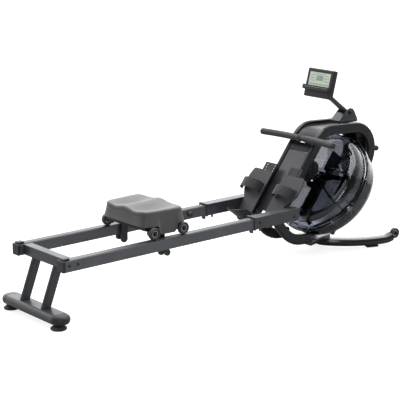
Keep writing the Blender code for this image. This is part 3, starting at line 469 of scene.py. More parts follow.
def webbing(name, colour):
    """Woven strap: ribs and picks from the UV map, with painted shade between the threads and a painted
    highlight on their crowns.
    """
    made, tree, shader = start_material(name, colour, 0.85)
    weave = use_group(tree, WEAVE)
    # Painted shade in the weave's hollows and a painted highlight on its crowns, set by the weave's height.
    weave_painted_shade = blend_colour(tree, weave["Shade"], tinted(colour, 0.45), tinted(colour, 1.35))
    dusty = use_group(tree, DUST, {"Amount": 0.12})["Mask"]
    feed(tree, shader, {"Base Color": blend_colour(tree, dusty, weave_painted_shade, DUST_COLOUR),
                        "Sheen Weight": 0.25, "Sheen Roughness": 0.4})
    add_bump(tree, shader, weave["Height"], 0.6, 0.0003)
    return made


def display_material(name, colour):
    """A liquid-crystal window: a pale ground with fine grain and slow unevenness."""
    made, tree, shader = start_material(name, colour, 0.12)
    grain = use_group(tree, GRAIN, {"Cells": 1500.0, "Mottle Scale": 30.0})
    ground = blend_colour(tree, spread(tree, grain["Mottle"]), tinted(colour, 0.9), colour)
    feed(tree, shader, {"Base Color": ground, "Coat Weight": 0.6})
    add_bump(tree, shader, grain["Height"], 0.05, 0.0001)
    return made


M = {
    "frame": surface("frame_powder_coat", (0.040, 0.042, 0.049), 0.28, 1100.0, 0.18, specular=0.4,
                     dust=0.03),
    "hoop": surface("hoop_powder_coat", (0.012, 0.013, 0.016), 0.24, 1100.0, 0.12, specular=0.30,
                    dust=0.01),
    "rail": surface("rail_powder_coat", (0.080, 0.084, 0.093), 0.32, 1100.0, 0.20, metallic=0.25, dust=0.05),
    "bar": surface("stabiliser_gloss_coat", (0.014, 0.015, 0.020), 0.18, 700.0, 0.08, coat=0.3,
                   dust=0.02),
    "strip": brushed_strip("wheel_track_steel", (0.12, 0.125, 0.13), 0.45),
    "steel": brushed_strip("plated_steel", (0.42, 0.43, 0.45), 0.30),
    "plastic": surface("moulded_black_plastic", (0.016, 0.017, 0.020), 0.40, 1400.0, 0.30,
                       scuff=0.3, specular=0.35, dust=0.05),
    "gloss": surface("gloss_black_plastic", (0.012, 0.013, 0.016), 0.16, 400.0, 0.03, scuff=0.15,
                     specular=0.35, dust=0.02),
    "cover": surface("cover_plastic", (0.008, 0.009, 0.011), 0.26, 1400.0, 0.15,
                     scuff=0.25, specular=0.2, dust=0.02),
    "rubber": surface("black_rubber", (0.026, 0.026, 0.028), 0.72, 800.0, 0.5, dust=0.2),
    "tyre": surface("hard_tyre", (0.030, 0.031, 0.034), 0.5, 1000.0, 0.3, scuff=0.5, dust=0.06),
    "seat": surface("moulded_seat_skin", (0.062, 0.062, 0.065), 0.44, 520.0, 0.55, 0.0004,
                    scuff=0.25, dust=0.12, sheen=0.1),
    "grip": surface("foam_grip", (0.022, 0.022, 0.025), 0.70, 420.0, 0.8, 0.0006, scuff=0.25,
                    dust=0.05, sheen=0.1),
    "rest": surface("foot_rest_plastic", (0.024, 0.025, 0.028), 0.42, 1000.0, 0.5, 0.0003,
                    scuff=0.5, specular=0.35, dust=0.03),
    "plate": surface("slope_cover_coat", (0.028, 0.029, 0.033), 0.30, 1100.0, 0.15, dust=0.02),
    "shell": clear_plastic("smoked_clear_plastic", (0.50, 0.52, 0.56), 0.015, 1.46, 0.04),
    "water": clear_plastic("still_water", (0.26, 0.275, 0.31), 0.01, 1.33, 0.10),
    "paddle": surface("paddle_plastic", (0.014, 0.015, 0.017), 0.35, 900.0, 0.2, dust=0.0),
    "belt": webbing("strap_webbing", (0.015, 0.016, 0.018)),
    "screen": display_material("display_window", (0.46, 0.54, 0.42)),
    "segment": surface("display_segment", (0.24, 0.30, 0.28), 0.3, 900.0, 0.05, scuff=0.0,
                       dust=0.0),
}


# --- solids that keep their shape ------------------------------------------------------------

def finish_edges(piece, width):
    """Welds a solid's triangles, joins its coplanar faces, rolls its edges and shades its flats flat."""
    weld = piece.modifiers.new("weld", "WELD")
    weld.merge_threshold = 1e-5
    flat = piece.modifiers.new("flats", "DECIMATE")
    flat.decimate_type = "DISSOLVE"
    flat.angle_limit = math.radians(1.0)
    bevel = piece.modifiers.new("edges", "BEVEL")
    bevel.width = width
    bevel.segments = 2
    bevel.limit_method = "ANGLE"
    bevel.angle_limit = math.radians(32.0)
    bevel.use_clamp_overlap = True
    shade = piece.modifiers.new("shading", "WEIGHTED_NORMAL")
    shade.keep_sharp = False
    shade.weight = 80


KEPT = {
    "rail_left": ("rail", 0.0012), "rail_right": ("rail", 0.0012),
    "rail_track": ("strip", 0.0004), "rail_end_cap": ("plastic", 0.0008),
    "front_seat_stop": ("rubber", 0.0012), "rear_stand": ("frame", 0.0014),
    "foot_bar_cap": ("plastic", 0.0006), "rear_levelling_foot": ("rubber", 0.0012),
    "side_frame": ("hoop", 0.0008), "rail_sleeve": ("frame", 0.0010),
    "slope_cover": ("plate", 0.0022), "belt_guide_cover": ("cover", 0.0010),
    "top_cover": ("cover", 0.0006), "front_stabiliser": ("bar", 0.0010),
    "stabiliser_foot": ("rubber", 0.0012), "stabiliser_mount": ("bar", 0.0012),
    "tank_seal": ("rubber", 0.0002), "impeller": ("paddle", 0.0006), "impeller_shaft": ("steel", 0.0006),
    "drive_drum": ("plastic", 0.0006), "bearing_carrier": ("frame", 0.0008),
    "idler_pulley": ("plastic", 0.0004), "idler_axle": ("steel", 0.0005),
    "storage_bumper": ("rubber", 0.0012), "seat_carriage": ("plastic", 0.0010),
    "guide_roller": ("tyre", 0.0010), "foot_plate": ("hoop", 0.0010), "foot_rest": ("rest", 0.0010),
    "monitor_arm": ("frame", 0.0010), "monitor_bracket": ("frame", 0.0006),
    "monitor_case": ("plastic", 0.0008), "monitor_button": ("rubber", 0.0006),
    "monitor_screen": ("screen", 0.0002),
}


def finish_kept_nodes():
    """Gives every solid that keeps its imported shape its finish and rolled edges."""
    for name, node in NODES.items():
        key = next((key for key in sorted(KEPT, key=len, reverse=True) if name.startswith(key)), None)
        if key is None:
            continue
        paint, width = KEPT[key]
        mesh = node.data
        for label in ("custom_normal", "sharp_face", "sharp_edge"):
            if label in mesh.attributes:
                mesh.attributes.remove(mesh.attributes[label])
        mesh.materials.clear()
        mesh.materials.append(M[paint])
        finish_edges(node, width)


# --- seat ------------------------------------------------------------------------------------

def build_seat():
    """The moulded seat skin, from its middle out over the rim, down the skirt and back underneath.

    The plan is a squircle, wider at the front. The top is a plane with two hip hollows and a raised
    front middle, and it rolls down near the rim by a quarter round. The skirt flares outward to a
    hem that drops between the wheels on both long sides.
    """
    low, high = corners_of("seat_pad")
    hem_level = corners_of("seat_carriage")[1][2] + GAP
    middle_x = (low[0] + high[0]) / 2
    half_x = (high[0] - low[0]) / 2
    turns = 220
    power = 8.0  # of the squircle
    edge_gap = 0.005  # from the pad's ends to the rim
    flare_out = 0.0095
    edge_share = 0.92  # where the top starts to roll down
    top_level = 0.4130
    hem_low = 0.3045  # between the wheels
    turn = np.linspace(0.0, math.tau, turns, endpoint=False)
    reach = (np.abs(np.cos(turn)) ** power + np.abs(np.sin(turn)) ** power) ** (-1 / power)
    plan_x = np.cos(turn) * reach
    plan_y = np.sin(turn) * reach

    def place(share, grow):
        along = (plan_x * share + 1) / 2
        half_y = 0.1510 + 0.0160 * along
        x = middle_x + plan_x * (share * (half_x - edge_gap) + grow)
        y = plan_y * (share * half_y + grow)
        return x, y

    def top(x, y):
        along = (x - low[0]) / (high[0] - low[0])
        across = np.abs(y) / (0.142 + 0.028 * along)
        hollow = np.exp(-((across - 0.50) / 0.26) ** 2) * np.exp(-((along - 0.42) / 0.40) ** 2)
        ridge = np.exp(-(across / 0.22) ** 2) * (0.35 + 0.65 * along)
        return top_level - 0.017 * hollow + 0.008 * ridge

    rows = []
    roll = 0.013
    for share in np.concatenate([[0.0], np.linspace(0.03, edge_share, 30)]):
        x, y = place(share, 0.0)
        rows.append((x, y, top(x, y)))
    for lean in np.linspace(0.0, math.pi / 2, 9)[1:]:
        share = edge_share + (1 - edge_share) * math.sin(lean)
        x, y = place(share, 0.0)
        rows.append((x, y, top(x, y) - roll * (1 - math.cos(lean))))
    rim = rows[-1][2]
    long_side = np.clip((np.abs(plan_y) - 0.90) / 0.10, 0.0, 1.0)
    x, _ = place(1.0, 0.0)
    wheel_rear = JOINTS["rear_wheel_left_roll"]["pos_m"][0]
    wheel_front = JOINTS["front_wheel_left_roll"]["pos_m"][0]
    centre = (wheel_rear + wheel_front) / 2
    drop = 1 / (1 + np.exp((np.abs(x - centre) - 0.0425) / 0.0022))
    hem = hem_level - (hem_level - hem_low) * drop * long_side
    for share in np.linspace(0.0, 1.0, 16)[1:]:
        flare = flare_out * share ** 1.6 * (1 - 0.35 * drop * long_side)
        x, y = place(1.0, flare)
        crease = 0.0012 * math.exp(-((share - 0.16) / 0.05) ** 2)
        x = x - np.cos(turn) * crease
        y = y - np.sin(turn) * crease
        rows.append((x, y, rim + (hem - rim) * share))
    for inset, lift in ((0.0030, 0.0), (0.0036, 0.0012)):
        x, y = place(1.0, flare_out - inset)
        y = np.where(drop * long_side > 0.02, np.sign(y) * np.maximum(np.abs(y), 0.1490), y)
        rows.append((x, y, hem + lift))
    inner_x, inner_y = place(0.90, 0.0)
    rows.append((inner_x, inner_y, np.full(turns, hem_level + 0.0006)))
    rows.append((np.full(turns, middle_x), np.zeros(turns), np.full(turns, hem_level + 0.0006)))
    grid = np.stack([np.stack(np.broadcast_arrays(*row), axis=-1) for row in rows])
    seat = make_piece("seat_cushion", grid, grid_faces(grid), M["seat"], "seat", "seat_foam",
                      ["seat_pad"], 60.0)


# --- wheels ----------------------------------------------------------------------------------

SEAT_PIN_END = 0.1840  # distance of a seat wheel pin's end from the middle plane
TRANSPORT_PIN_END = 0.2200


def socket_screw(centre, axis, radius, height, hexagon=0.5):
    """A button-head screw: a domed disc with a six-sided socket in it, as a grid with faces."""
    dome = [(0.0, -0.0008), (radius, -0.0008), (radius, height * 0.35), (radius * 0.86, height * 0.8),
            (radius * 0.62, height)]
    steps = 36
    body = revolve(dome, centre, axis, steps)
    socket = revolve([(radius * hexagon, height), (radius * hexagon, height * 0.35), (0.0, height * 0.3)],
                     centre, axis, steps, flats=6)
    grid = np.concatenate([body, socket])
    return grid, grid_faces(grid)


def build_wheel(name, body):
    """A wheel: a crowned tyre with a centre line, a dished web and two bearing rings.

    It gives back its middle and its radius.
    """
    low, high = corners_of(name)
    radius = (high[2] - low[2]) / 2
    half = (high[1] - low[1]) / 2
    middle = (low + high) / 2

    def both_sides(one_side, between=()):
        return [(away, -across) for away, across in one_side] + [*between] + one_side[::-1]

    tread = [(radius * 0.70, half * 0.86), (radius * 0.74, half), (radius * 0.93, half),
             (radius, half * 0.62), (radius, half * 0.09)]
    reach = [0.0004, 0.0008, 0.0022, 0.0035, 0.0003]
    tyre = soften(both_sides(tread, [(radius - 0.0007, 0.0)]), [*reach, 0.0003, *reach[::-1]], 4)
    turned_piece(f"{name}_tyre", tyre, middle, ACROSS, M["tyre"], body, "wheel_tyre", 72, True, [name])
    bore = 0.0053
    dish = [(bore, half * 0.72), (radius * 0.34, half * 0.72), (radius * 0.40, half * 0.52),
            (radius * 0.64, half * 0.52), (radius * 0.695, half * 0.80)]
    web = soften(both_sides(dish), 0.0006, 3)
    turned_piece(f"{name}_web", web, middle, ACROSS, M["plastic"], body, "black_plastic", 48, True)
    rings = []
    for side in (-1.0, 1.0):
        ring = soften([(radius * 0.48, side * half * 0.53), (radius * 0.58, side * half * 0.53),
                       (radius * 0.58, side * half * 0.66), (radius * 0.48, side * half * 0.66)], 0.0003, 2)
        grid = revolve(ring, middle, ACROSS, 48)
        rings.append((grid, grid_faces(grid, True)))
    joined_piece(f"{name}_bearing_rings", rings, M["steel"], body, "bare_steel")
    return middle, radius


def build_wheels():
    """The four seat wheels, the transport wheels and the screws in their ends."""
    for side, sign in SIDES.items():
        screws = []
        for end in ("rear", "front"):
            middle, radius = build_wheel(f"seat_wheel_{end}_{side}", f"{end}_wheel_{side}")
            pin = np.array([middle[0], sign * SEAT_PIN_END, middle[2]])
            screws.append(socket_screw(pin, ACROSS * sign, radius * 0.26, 0.0030))
        joined_piece(f"seat_axle_screws_{side}", screws, M["plastic"], "seat", "bare_steel")
        middle, radius = build_wheel(f"transport_wheel_{side}", f"transport_{side}")
        tip = np.array([middle[0], sign * TRANSPORT_PIN_END, middle[2]])
        grid, faces = socket_screw(tip, ACROSS * sign, radius * 0.30, 0.0035)
        make_piece(f"transport_axle_screw_{side}", grid, faces, M["plastic"], "frame", "bare_steel")


# --- tank ------------------------------------------------------------------------------------

WATER_RISE = 0.075  # height of the water's surface above the tank's centre
FLANGE_PLATE = 0.0075  # thickness of each shell's flange


def shoulder(radius, depth, corner, steps):
    """The (radius, depth) points of a quarter round from a drum wall to its face."""
    lean = np.linspace(0.0, math.pi / 2, steps)
    return np.stack([radius - corner + corner * np.cos(lean), depth - corner + corner * np.sin(lean)],
                    axis=-1)


def shell_profile(wall_radius, depth, corner, flange, plate, crown):
    """A shell's outer section from flange to middle, positive depth away from the joint plane.

    A flat flange, a drum wall, a round shoulder, and a face with a shallow parabolic crown.
    """
    start = np.array([[flange, 0.0012], [flange, plate - 0.0008], [flange - 0.0008, plate],
                      [wall_radius + 0.002, plate], [wall_radius, plate + 0.002]])
    reach = wall_radius - corner
    radii = np.linspace(reach, 0.0, 34)[1:]
    face = np.stack([radii, depth + crown * (1 - (radii / reach) ** 2)], axis=-1)
    return np.concatenate([start, shoulder(wall_radius, depth, corner, 14), face])


def build_tank():
    """Two smoked shells bolted at their flange, each a turned skin with an inner wall."""
    flange, front_low, _ = reach_and_depth("tank_front_shell")
    _, _, rear_high = reach_and_depth("tank_rear_shell")
    wall = 0.004
    lip = 0.0012  # from the joint plane to the inner wall
    steps = 144
    front_crown = 0.003
    hub = 0.012  # height of the rear shell's boss
    boss_clear = 0.038  # radius inside which the rear face gives way to the boss
    front_depth = -front_low - front_crown
    rear_depth = rear_high - hub
    specs = (("tank_front", "tank_front_shell", -OUT, 0.2565, front_depth, 0.045, front_crown),
             ("tank_rear", "tank_rear_shell", OUT, 0.2550, rear_depth, 0.042, 0.0))
    for name, node, axis, radius, depth, corner, crown in specs:
        outer = shell_profile(radius, depth, corner, flange, FLANGE_PLATE, crown)
        inner = shell_profile(radius - wall, depth - wall, corner - wall, radius - wall, lip, crown)
        inner = inner[4:]
        inner[0] = (radius - wall, lip)
        if name == "tank_rear":
            bore = 0.0125
            boss = [(0.036, depth), (0.034, depth + hub), (bore, depth + hub)]
            outer = np.concatenate([outer[outer[:, 0] > boss_clear], boss])
            inner = inner[inner[:, 0] > bore]
        section = np.concatenate([outer, inner[::-1]])
        turned_piece(f"{name}_clear_shell", section, TANK, axis, M["shell"], "frame", "smoked_clear",
                     steps, True, [node], 40.0)
    return flange, front_depth, rear_depth


def build_flange_bolts(flange):
    """Twelve screws with nuts round the tank's flange."""
    count = 12
    ring = flange - 0.0068
    heads = []
    nuts = []
    for index in range(count):
        angle = math.tau * (index + 0.5) / count
        spot = on_slope(ring * math.cos(angle), ring * math.sin(angle), 0.0)
        heads.append(socket_screw(spot - OUT * (FLANGE_PLATE + 0.0008), -OUT, 0.0052, 0.0034))
        nut = revolve([(0.0, 0.0), (0.0050, 0.0), (0.0054, 0.0008), (0.0054, 0.0034), (0.0048, 0.0042),
                       (0.0, 0.0042)], spot + OUT * (FLANGE_PLATE + GAP), OUT, 36, flats=6)
        nuts.append((nut, grid_faces(nut)))
    joined_piece("tank_flange_screws", heads, M["steel"], "frame", "bare_steel")
    joined_piece("tank_flange_nuts", nuts, M["steel"], "frame", "bare_steel")


def build_water(front_depth, rear_depth):
    """The water: the tank's inside, turned about its axis and cut off level."""
    clear = 0.0055
    corner = 0.036
    radius = 0.2550 - clear
    front = shoulder(radius, front_depth - clear, corner, 10) * (1.0, -1.0)
    rear = shoulder(radius, rear_depth - clear, corner, 10)
    section = np.concatenate([[(0.0, front[-1, 1])], front[::-1], rear, [(0.0, rear[-1, 1])]])
    grid = revolve(section, TANK, OUT, 120)
    build = bmesh.new()
    mesh = bpy.data.meshes.new("water_shape")
    mesh.from_pydata(grid.reshape(-1, 3).tolist(), [], grid_faces(grid).tolist())
    build.from_mesh(mesh)
    bmesh.ops.remove_doubles(build, verts=build.verts, dist=2e-6)
    level = TANK[2] + WATER_RISE
    cut = bmesh.ops.bisect_plane(build, geom=[*build.verts, *build.edges, *build.faces],
                                 plane_co=(0, 0, level), plane_no=(0, 0, 1), clear_outer=True)
    rim = [item for item in cut["geom_cut"] if isinstance(item, bmesh.types.BMEdge)]
    bmesh.ops.contextual_create(build, geom=rim)
    bmesh.ops.recalc_face_normals(build, faces=build.faces)
    build.verts.index_update()
    points = np.array([vert.co[:] for vert in build.verts])
    faces = [[vert.index for vert in face.verts] for face in build.faces]
    build.free()
    bpy.data.meshes.remove(mesh)
    make_piece("tank_water", points, faces, M["water"], "frame", "smoked_clear", (), 40.0)


# --- covers and mounts -----------------------------------------------------------------------

def bend(before, corner, after, radius, steps):
    """Points of the circular arc that rounds off a corner between two straight runs."""
    back = (before - corner) / np.linalg.norm(before - corner)
    ahead = (after - corner) / np.linalg.norm(after - corner)
    half = math.acos(float(np.clip(back @ ahead, -1.0, 1.0))) / 2
    middle = back + ahead
    middle /= np.linalg.norm(middle)
    centre = corner + middle * radius / math.sin(half)
    side = (back - ahead) / np.linalg.norm(back - ahead)
    turn = np.linspace(math.pi / 2 - half, half - math.pi / 2, steps)
    return centre + radius * (np.sin(turn)[:, None] * side - np.cos(turn)[:, None] * middle)


def build_covers():
    """The cover between the hoops: one curved sheet from the belt guide over the top and down the
    front, its rims turned up beside the hoops, with a base under the monitor's bracket."""
    _, hoop_high = corners_of("side_frame_left")
    _, guide_high = slope_range("belt_guide_cover")
    half = guide_high[1]
    level = hoop_high[2] - 0.0200
    depth = 0.2510
    drop = 0.0200  # of the front of the top below its rear
    start = on_slope(guide_high[0] + 0.0010, 0.0, depth)
    rear_s = (level - on_slope(0.0, 0.0, depth)[2]) / UP[2]
    rear = on_slope(rear_s, 0.0, depth)
    front_h = -0.1380
    front_s = (level - drop - on_slope(0.0, 0.0, front_h)[2]) / UP[2]
    front = on_slope(front_s, 0.0, front_h)
    last = on_slope(0.0600, 0.0, front_h)
    rear_bend = bend(start, rear, front, 0.1050, 12)
    front_bend = bend(rear, front, last, 0.1200, 30)
    path = np.concatenate([[start], rear_bend, front_bend, [last]])
    thick = 0.0015
    rim = 0.0060
    turned_up = np.array([(thick, half - 0.0030), (thick, -half + 0.0030), (rim, -half + 0.0010),
                          (rim, -half), (-thick, -half), (-thick, half), (rim, half),
                          (rim, half - 0.0010)])
    section = soften(turned_up, 0.0006, 2)
    grid = carry(path, section, ACROSS)
    make_piece("hoop_cover", grid, capped_faces(grid), M["cover"], "frame", "gloss_plastic",
               ["top_cover"], 40.0)
    low, high = corners_of("monitor_bracket")
    base = block([low[0] + 0.0060, low[1], level + 0.0025], [high[0], high[1], low[2] + 0.0040], 0.0020)
    make_piece("bracket_base", *base, M["frame"], "frame", "frame_paint")


def build_saddle():
    """The saddle between the hoops' ends and the stabiliser: a plate that narrows to the front, with
    rolled rims and corners."""
    low, high = corners_of("stabiliser_mount")
    x = [low[0], low[0] + 0.45 * (high[0] - low[0]), high[0]]
    y = [high[1] - 0.002, 0.70 * high[1], 0.040]
    outline = np.array([*zip(x, y), *zip(x[::-1], [-value for value in y[::-1]])])
    outline = soften(outline, [0.010, 0.040, 0.030, 0.030, 0.040, 0.010], 8)
    middle = outline.mean(0)
    lean = np.linspace(0.0, math.pi / 2, 5)
    roll = 0.0080
    rows = [(1.0, low[2])]
    rows += [(1 - 0.10 * (1 - math.cos(angle)), high[2] - roll * (1 - math.sin(angle))) for angle in lean]
    grid = np.stack([np.column_stack([middle + (outline - middle) * share, np.full(len(outline), z)])
                     for share, z in rows])
    make_piece("stabiliser_saddle", grid, capped_faces(grid), M["bar"], "frame", "frame_paint",
               ["stabiliser_mount"], 50.0)


# --- handle and belt -------------------------------------------------------------------------

def build_handle():
    """The pull handle: a swept-back bar whose radius is the grip's, necked at the middle and domed
    at both ends, and a belt loop round its middle."""
    low, high = corners_of("handle_grip")
    radius = (high[2] - low[2]) / 2
    half = 0.252
    round_over = 0.010  # length of the domed ends
    level = (high[2] + low[2]) / 2
    front = high[0] - radius
    y = np.concatenate([-half + round_over * (1 - np.cos(np.linspace(0, math.pi / 2, 8))),
                        np.linspace(-half + 0.012, half - 0.012, 90),
                        half - round_over * (1 - np.cos(np.linspace(math.pi / 2, 0, 8)))])
    swept = np.maximum(0.0, np.abs(y) - 0.060)
    path = np.stack([front - 0.55 * swept ** 2, y, np.full_like(y, level)], axis=-1)
    end = np.clip((half - np.abs(y)) / round_over, 0.0, 1.0)
    dome = np.sqrt(1 - (1 - end) ** 2) * 0.45 + 0.55
    dome = np.where(end <= 0.0, 0.45, dome)
    neck = 1 - 0.10 / (1 + np.exp((np.abs(y) - 0.033) / 0.0008))
    thick = radius * dome * neck * (1 + 0.004 * np.cos(y * 330.0))
    turn = np.linspace(0.0, math.tau, 40, endpoint=False)
    ring = np.stack([np.cos(turn), np.sin(turn)], axis=-1)
    grid = carry(path, thick[:, None, None] * ring[None], [0, 0, 1])
    make_piece("handle_foam_grip", grid, capped_faces(grid), M["grip"], "handle", "grip_foam",
               ["handle_grip"], 50.0)
    s_low, s_high = slope_range("drive_belt")
    middle = (s_low + s_high) / 2
    handle_h = (np.array([front, 0.0, level]) - TANK) @ OUT
    handle_s = (np.array([front, 0.0, level]) - TANK) @ UP
    belt_half = 0.0125
    loop_radius = radius * 0.90 + 0.0014
    turns = np.linspace(math.radians(262), math.radians(-82), 42)
    loop_s = handle_s + loop_radius * np.cos(turns)
    loop_h = handle_h + loop_radius * np.sin(turns)
    tail_h = np.linspace(s_low[2] + 0.0005, handle_h - loop_radius - 0.001, 14)
    line_s = np.concatenate([np.full(14, middle[0] - 0.0012), loop_s, np.full(14, middle[0] + 0.0012)])
    line_h = np.concatenate([tail_h, loop_h, tail_h[::-1]])
    line = on_slope(line_s, 0.0, line_h)
    band = rounded_rectangle(0.0018, 2 * belt_half, 0.0007, 3)
    grid = carry(line, band, ACROSS)
    belt = make_piece("drive_belt_loop", grid, capped_faces(grid), M["belt"], "handle", "webbing",
                      ["drive_belt"], 50.0)
    lay_uv(belt, 0.085)


def lay_uv(piece, repeat):
    """A UV map for a strap: u along it per repeat, v across it from the piece's own edges."""
    mesh = piece.data
    uv = mesh.uv_layers.new(name="strap")
    points = mesh_points(mesh)
    loops = np.empty(len(mesh.loops), np.int32)
    mesh.loops.foreach_get("vertex_index", loops)
    spread_y = points[:, 1] - points[:, 1].min()
    along = (points - TANK) @ UP
    wide = np.ptp(along)
    if np.ptp(points[:, 1]) < wide:
        first = (points - TANK) @ OUT / repeat
        second = spread_y / max(np.ptp(points[:, 1]), 1e-6)
    else:
        first = spread_y / repeat
        second = (along - along.min()) / max(wide, 1e-6)
    flat = np.stack([first[loops], second[loops]], axis=-1).astype(np.float32)
    uv.data.foreach_set("uv", flat.ravel())


# --- foot straps -----------------------------------------------------------------------------

def build_straps():
    """The foot straps: a wide band arched over each foot, its ends tucked beside the rest.

    y follows a cosine across the foot and h a power of the sine, with a slow ripple in the band.
    """
    for side, sign in SIDES.items():
        node = f"foot_strap_{side}"
        low, high = slope_range(node)
        centre_s = (low[0] + high[0]) / 2
        width = high[0] - low[0]
        thick = 0.0022
        middle = (low[1] + high[1]) / 2
        half = (high[1] - low[1]) / 2 - thick / 2 - 0.0006
        turn = np.linspace(0.0, math.pi, 61)
        base = low[2] + 0.0012
        rise = high[2] - low[2] - 0.0030
        y = middle + half * np.cos(turn)
        h = base + rise * np.sin(turn) ** 0.8
        path = on_slope(centre_s, y, h)
        outline = rounded_rectangle(thick, width, 0.0009, 4)
        ripple = 0.0007 * np.sin(turn * 7.0)[:, None] * np.cos(outline[:, 1] / width * math.pi)[None]
        section = np.broadcast_to(outline, (len(turn), *outline.shape)).copy()
        section[..., 0] += ripple
        grid = carry(path, section, UP)
        strap = make_piece(f"foot_strap_band_{side}", grid, capped_faces(grid), M["belt"],
                           f"foot_rest_{side}", "webbing", [node], 50.0)
        lay_uv(strap, 0.060)
        build_buckle(side, sign, centre_s, width, middle + sign * half, base, thick)


def build_buckle(side, sign, centre_s, width, edge_y, base_h, thick):
    """A wire buckle round the strap's outer end: a squircle of round wire."""
    turn = np.linspace(0.0, math.tau, 64, endpoint=False)
    reach = (np.abs(np.cos(turn)) ** 6 + np.abs(np.sin(turn)) ** 6) ** (-1 / 6)
    s = centre_s + (width / 2 + 0.0045) * np.cos(turn) * reach
    h = base_h + 0.0130 + 0.0085 * np.sin(turn) * reach
    path = on_slope(s, edge_y - sign * 0.0035 + sign * (thick / 2 + 0.0024), h)
    closed = np.concatenate([path[-1:], path, path[:1]])
    wire = 0.0013
    ring_turn = np.linspace(0.0, math.tau, 12, endpoint=False)
    ring = wire * np.stack([np.cos(ring_turn), np.sin(ring_turn)], axis=-1)
    grid = carry(closed, ring, ACROSS)[1:-1]
    make_piece(f"strap_buckle_{side}", grid, grid_faces(grid, True), M["gloss"], f"foot_rest_{side}",
               "bare_steel")


# --- small fittings --------------------------------------------------------------------------

def build_screws():
    """Screws in the rails, sleeves and bracket."""
    rail_low, rail_high = corners_of("rail_left")
    sleeve_low, sleeve_high = corners_of("rail_sleeve_left")
    _, track_high = corners_of("rail_track_left")
    cross_x = [rail_low[0] + 0.0206, rail_low[0] + 0.0640]
    sleeve_places = [(sleeve_low[0] + 0.0345, 0.2690), (sleeve_high[0] - 0.0330, 0.2590)]  # x and z
    for side, sign in SIDES.items():
        outer = rail_high[1] * sign
        level = rail_low[2] + 0.57 * (rail_high[2] - rail_low[2])
        parts = [socket_screw([x, outer, level], ACROSS * sign, 0.0062, 0.0026) for x in cross_x]
        joined_piece(f"crossbar_screws_{side}", parts, M["gloss"], "frame", "bare_steel")
        parts = [socket_screw([x, (sleeve_high[1] - 0.002) * sign, z], ACROSS * sign, 0.0068, 0.0030)
                 for x, z in sleeve_places]
        joined_piece(f"sleeve_screws_{side}", parts, M["plastic"], "frame", "bare_steel")
        grid, faces = socket_screw([track_high[0] - 0.0065, 0.1705 * sign, track_high[2]], [0, 0, 1],
                                   0.0048, 0.0012)
        make_piece(f"track_screw_{side}", grid, faces, M["steel"], "frame", "bare_steel")
    pivot = np.array(JOINTS["monitor_tilt"]["pos_m"], float)
    parts = [socket_screw(pivot + ACROSS * sign * 0.0326, ACROSS * sign, 0.0092, 0.0040)
             for sign in SIDES.values()]
    joined_piece("bracket_pivot_screws", parts, M["gloss"], "frame", "bare_steel")


# --- monitor ---------------------------------------------------------------------------------

def build_monitor_details():
    """The display's blocks and bars, and the end stop of the ledge below it.

    The monitor's own directions are read from its screws: the press direction of a button runs into
    the face, Y runs across it, and their cross product up it.
    """
    into = np.array(JOINTS["button_left_press"]["axis"], float)
    into /= np.linalg.norm(into)
    up = np.cross(into, ACROSS)
    if up[2] < 0:
        up = -up
    low, high = corners_of("monitor_screen")
    points = mesh_points(NODES["monitor_screen"].data)
    depth = (points @ into).min()
    rise = points @ up
    middle_up = (rise.min() + rise.max()) / 2
    tall = rise.max() - rise.min()
    wide = high[1] - low[1]
    face = into * depth + up * middle_up
    axes = np.stack([ACROSS, up, -into])
    cells = []

    def cell(across, upward, cell_width, cell_height):
        size = np.array([cell_width, cell_height, 0.0004])
        centre = np.array([across, upward, 0.0003])
        cells.append(block(centre - size / 2, centre + size / 2, 0.00015, axes, face))

    cell(0.0, 0.1 * tall, 0.34 * wide, 0.40 * tall)
    for column in range(6):
        across = (column - 2.5) * wide / 6.4
        cell(across, -0.36 * tall, wide / 9, 0.10 * tall)
    for row in range(3):
        for sign in (-1.0, 1.0):
            upward = (0.28 - 0.20 * row) * tall
            cell(sign * 0.30 * wide, upward, 0.13 * wide, 0.07 * tall)
            cell(sign * 0.415 * wide, upward, 0.05 * wide, 0.07 * tall)
    cell(0.0, 0.39 * tall, 0.50 * wide, 0.05 * tall)
    joined_piece("display_blocks", cells, M["segment"], "monitor", "display_glass")

    _, case_high = corners_of("monitor_case")
    points = mesh_points(NODES["monitor_case"].data)
    front = (points @ into).min()
    ledge_depth = 0.020
    foot = into * (front + ledge_depth) + up * (points @ up).min()
    stop = block([case_high[1] - 0.0120, 0.0345, 0.004], [case_high[1] + 0.0020, 0.0570, 0.0175], 0.0025,
                 axes, foot)
    make_piece("ledge_end_stop", *stop, M["plastic"], "monitor", "black_plastic")


# --- scene -----------------------------------------------------------------------------------

BACKDROP_SIDE = (0.60, 0.72, 0.35)  # towards the bright backdrop behind the machine


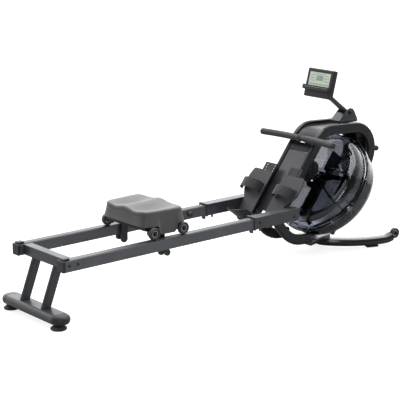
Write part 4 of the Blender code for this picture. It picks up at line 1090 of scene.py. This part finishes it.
def build_stage():
    """A pale floor, a surround that is brighter behind the machine, and two large soft lights."""
    size = 60.0
    mesh = bpy.data.meshes.new("studio_floor")
    mesh.from_pydata([(-size, -size, 0), (size, -size, 0), (size, size, 0), (-size, size, 0)], [],
                     [(0, 1, 2, 3)])
    floor = bpy.data.objects.new("studio_floor", mesh)
    bpy.context.scene.collection.objects.link(floor)
    floor.location.z = -0.0005
    made, tree, shader = start_material("pale_floor", (0.40, 0.40, 0.40), 0.7)
    mottle = use_group(tree, GRAIN, {"Cells": 200.0, "Mottle Scale": 2.0})["Mottle"]
    seen = add_node(tree, "ShaderNodeLightPath").outputs["Is Camera Ray"]
    feed(tree, shader, {
        "Base Color": blend_colour(tree, spread(tree, mottle), (0.39, 0.39, 0.39), (0.42, 0.42, 0.42)),
        "Specular IOR Level": 0.1, "Emission Color": (1.0, 1.0, 1.0),
        "Emission Strength": math_node(tree, "MULTIPLY", seen, 0.80)})
    mesh.materials.append(made)

    world = bpy.data.worlds.new("white_surround")
    bpy.context.scene.world = world
    world.use_nodes = True
    tree = world.node_tree
    place = add_node(tree, "ShaderNodeTexCoord").outputs["Generated"]
    facing = add_node(tree, "ShaderNodeVectorMath", {0: place, 1: BACKDROP_SIDE}, operation="DOT_PRODUCT")
    glow = ranged(tree, facing.outputs["Value"], -0.30, 0.80, 0.17, 2.30)
    seen = add_node(tree, "ShaderNodeLightPath").outputs["Is Camera Ray"]
    feed(tree, tree.nodes["Background"], {"Color": math_node(tree, "MAXIMUM", glow, seen),
                                          "Strength": 1.0})

    def softbox(name, place, aim, width, height, power):
        lamp = bpy.data.lights.new(name, "AREA")
        lamp.shape = "RECTANGLE"
        lamp.size = width
        lamp.size_y = height
        lamp.energy = power
        light = bpy.data.objects.new(name, lamp)
        bpy.context.scene.collection.objects.link(light)
        from_aim = np.array(place, float) - np.array(aim, float)
        turn = Matrix(np.stack(basis_round(from_aim), axis=1).tolist())
        light.matrix_world = Matrix.Translation(place) @ turn.to_4x4()

    softbox("overhead_softbox", (0.2, 0.3, 3.2), (0.0, 0.0, 0.2), 3.6, 2.4, 95.0)
    softbox("left_softbox", (-2.6, -2.6, 2.2), (0.0, 0.0, 0.3), 1.2, 2.4, 26.0)
    bpy.context.scene.view_settings.view_transform = "Standard"


def build_camera():
    """A long lens from in front of the seat end, a little above the machine."""
    lens = bpy.data.cameras.new("camera")
    lens.lens = 119.76
    lens.sensor_width = 36.0
    lens.clip_end = 200.0
    camera = bpy.data.objects.new("camera", lens)
    bpy.context.scene.collection.objects.link(camera)
    camera.matrix_world = Matrix(((0.76176, 0.15636, -0.62871, -3.9704),
                                  (-0.64786, 0.18322, -0.73940, -4.5534),
                                  (-0.00042, 0.97056, 0.24087, 1.8546),
                                  (0.0, 0.0, 0.0, 1.0)))
    bpy.context.scene.camera = camera


build_camera()
build_stage()
finish_kept_nodes()
build_seat()
build_wheels()
flange_reach, front_reach, rear_reach = build_tank()
build_flange_bolts(flange_reach)
build_water(front_reach, rear_reach)
build_covers()
build_saddle()
build_handle()
build_straps()
build_screws()
build_monitor_details()
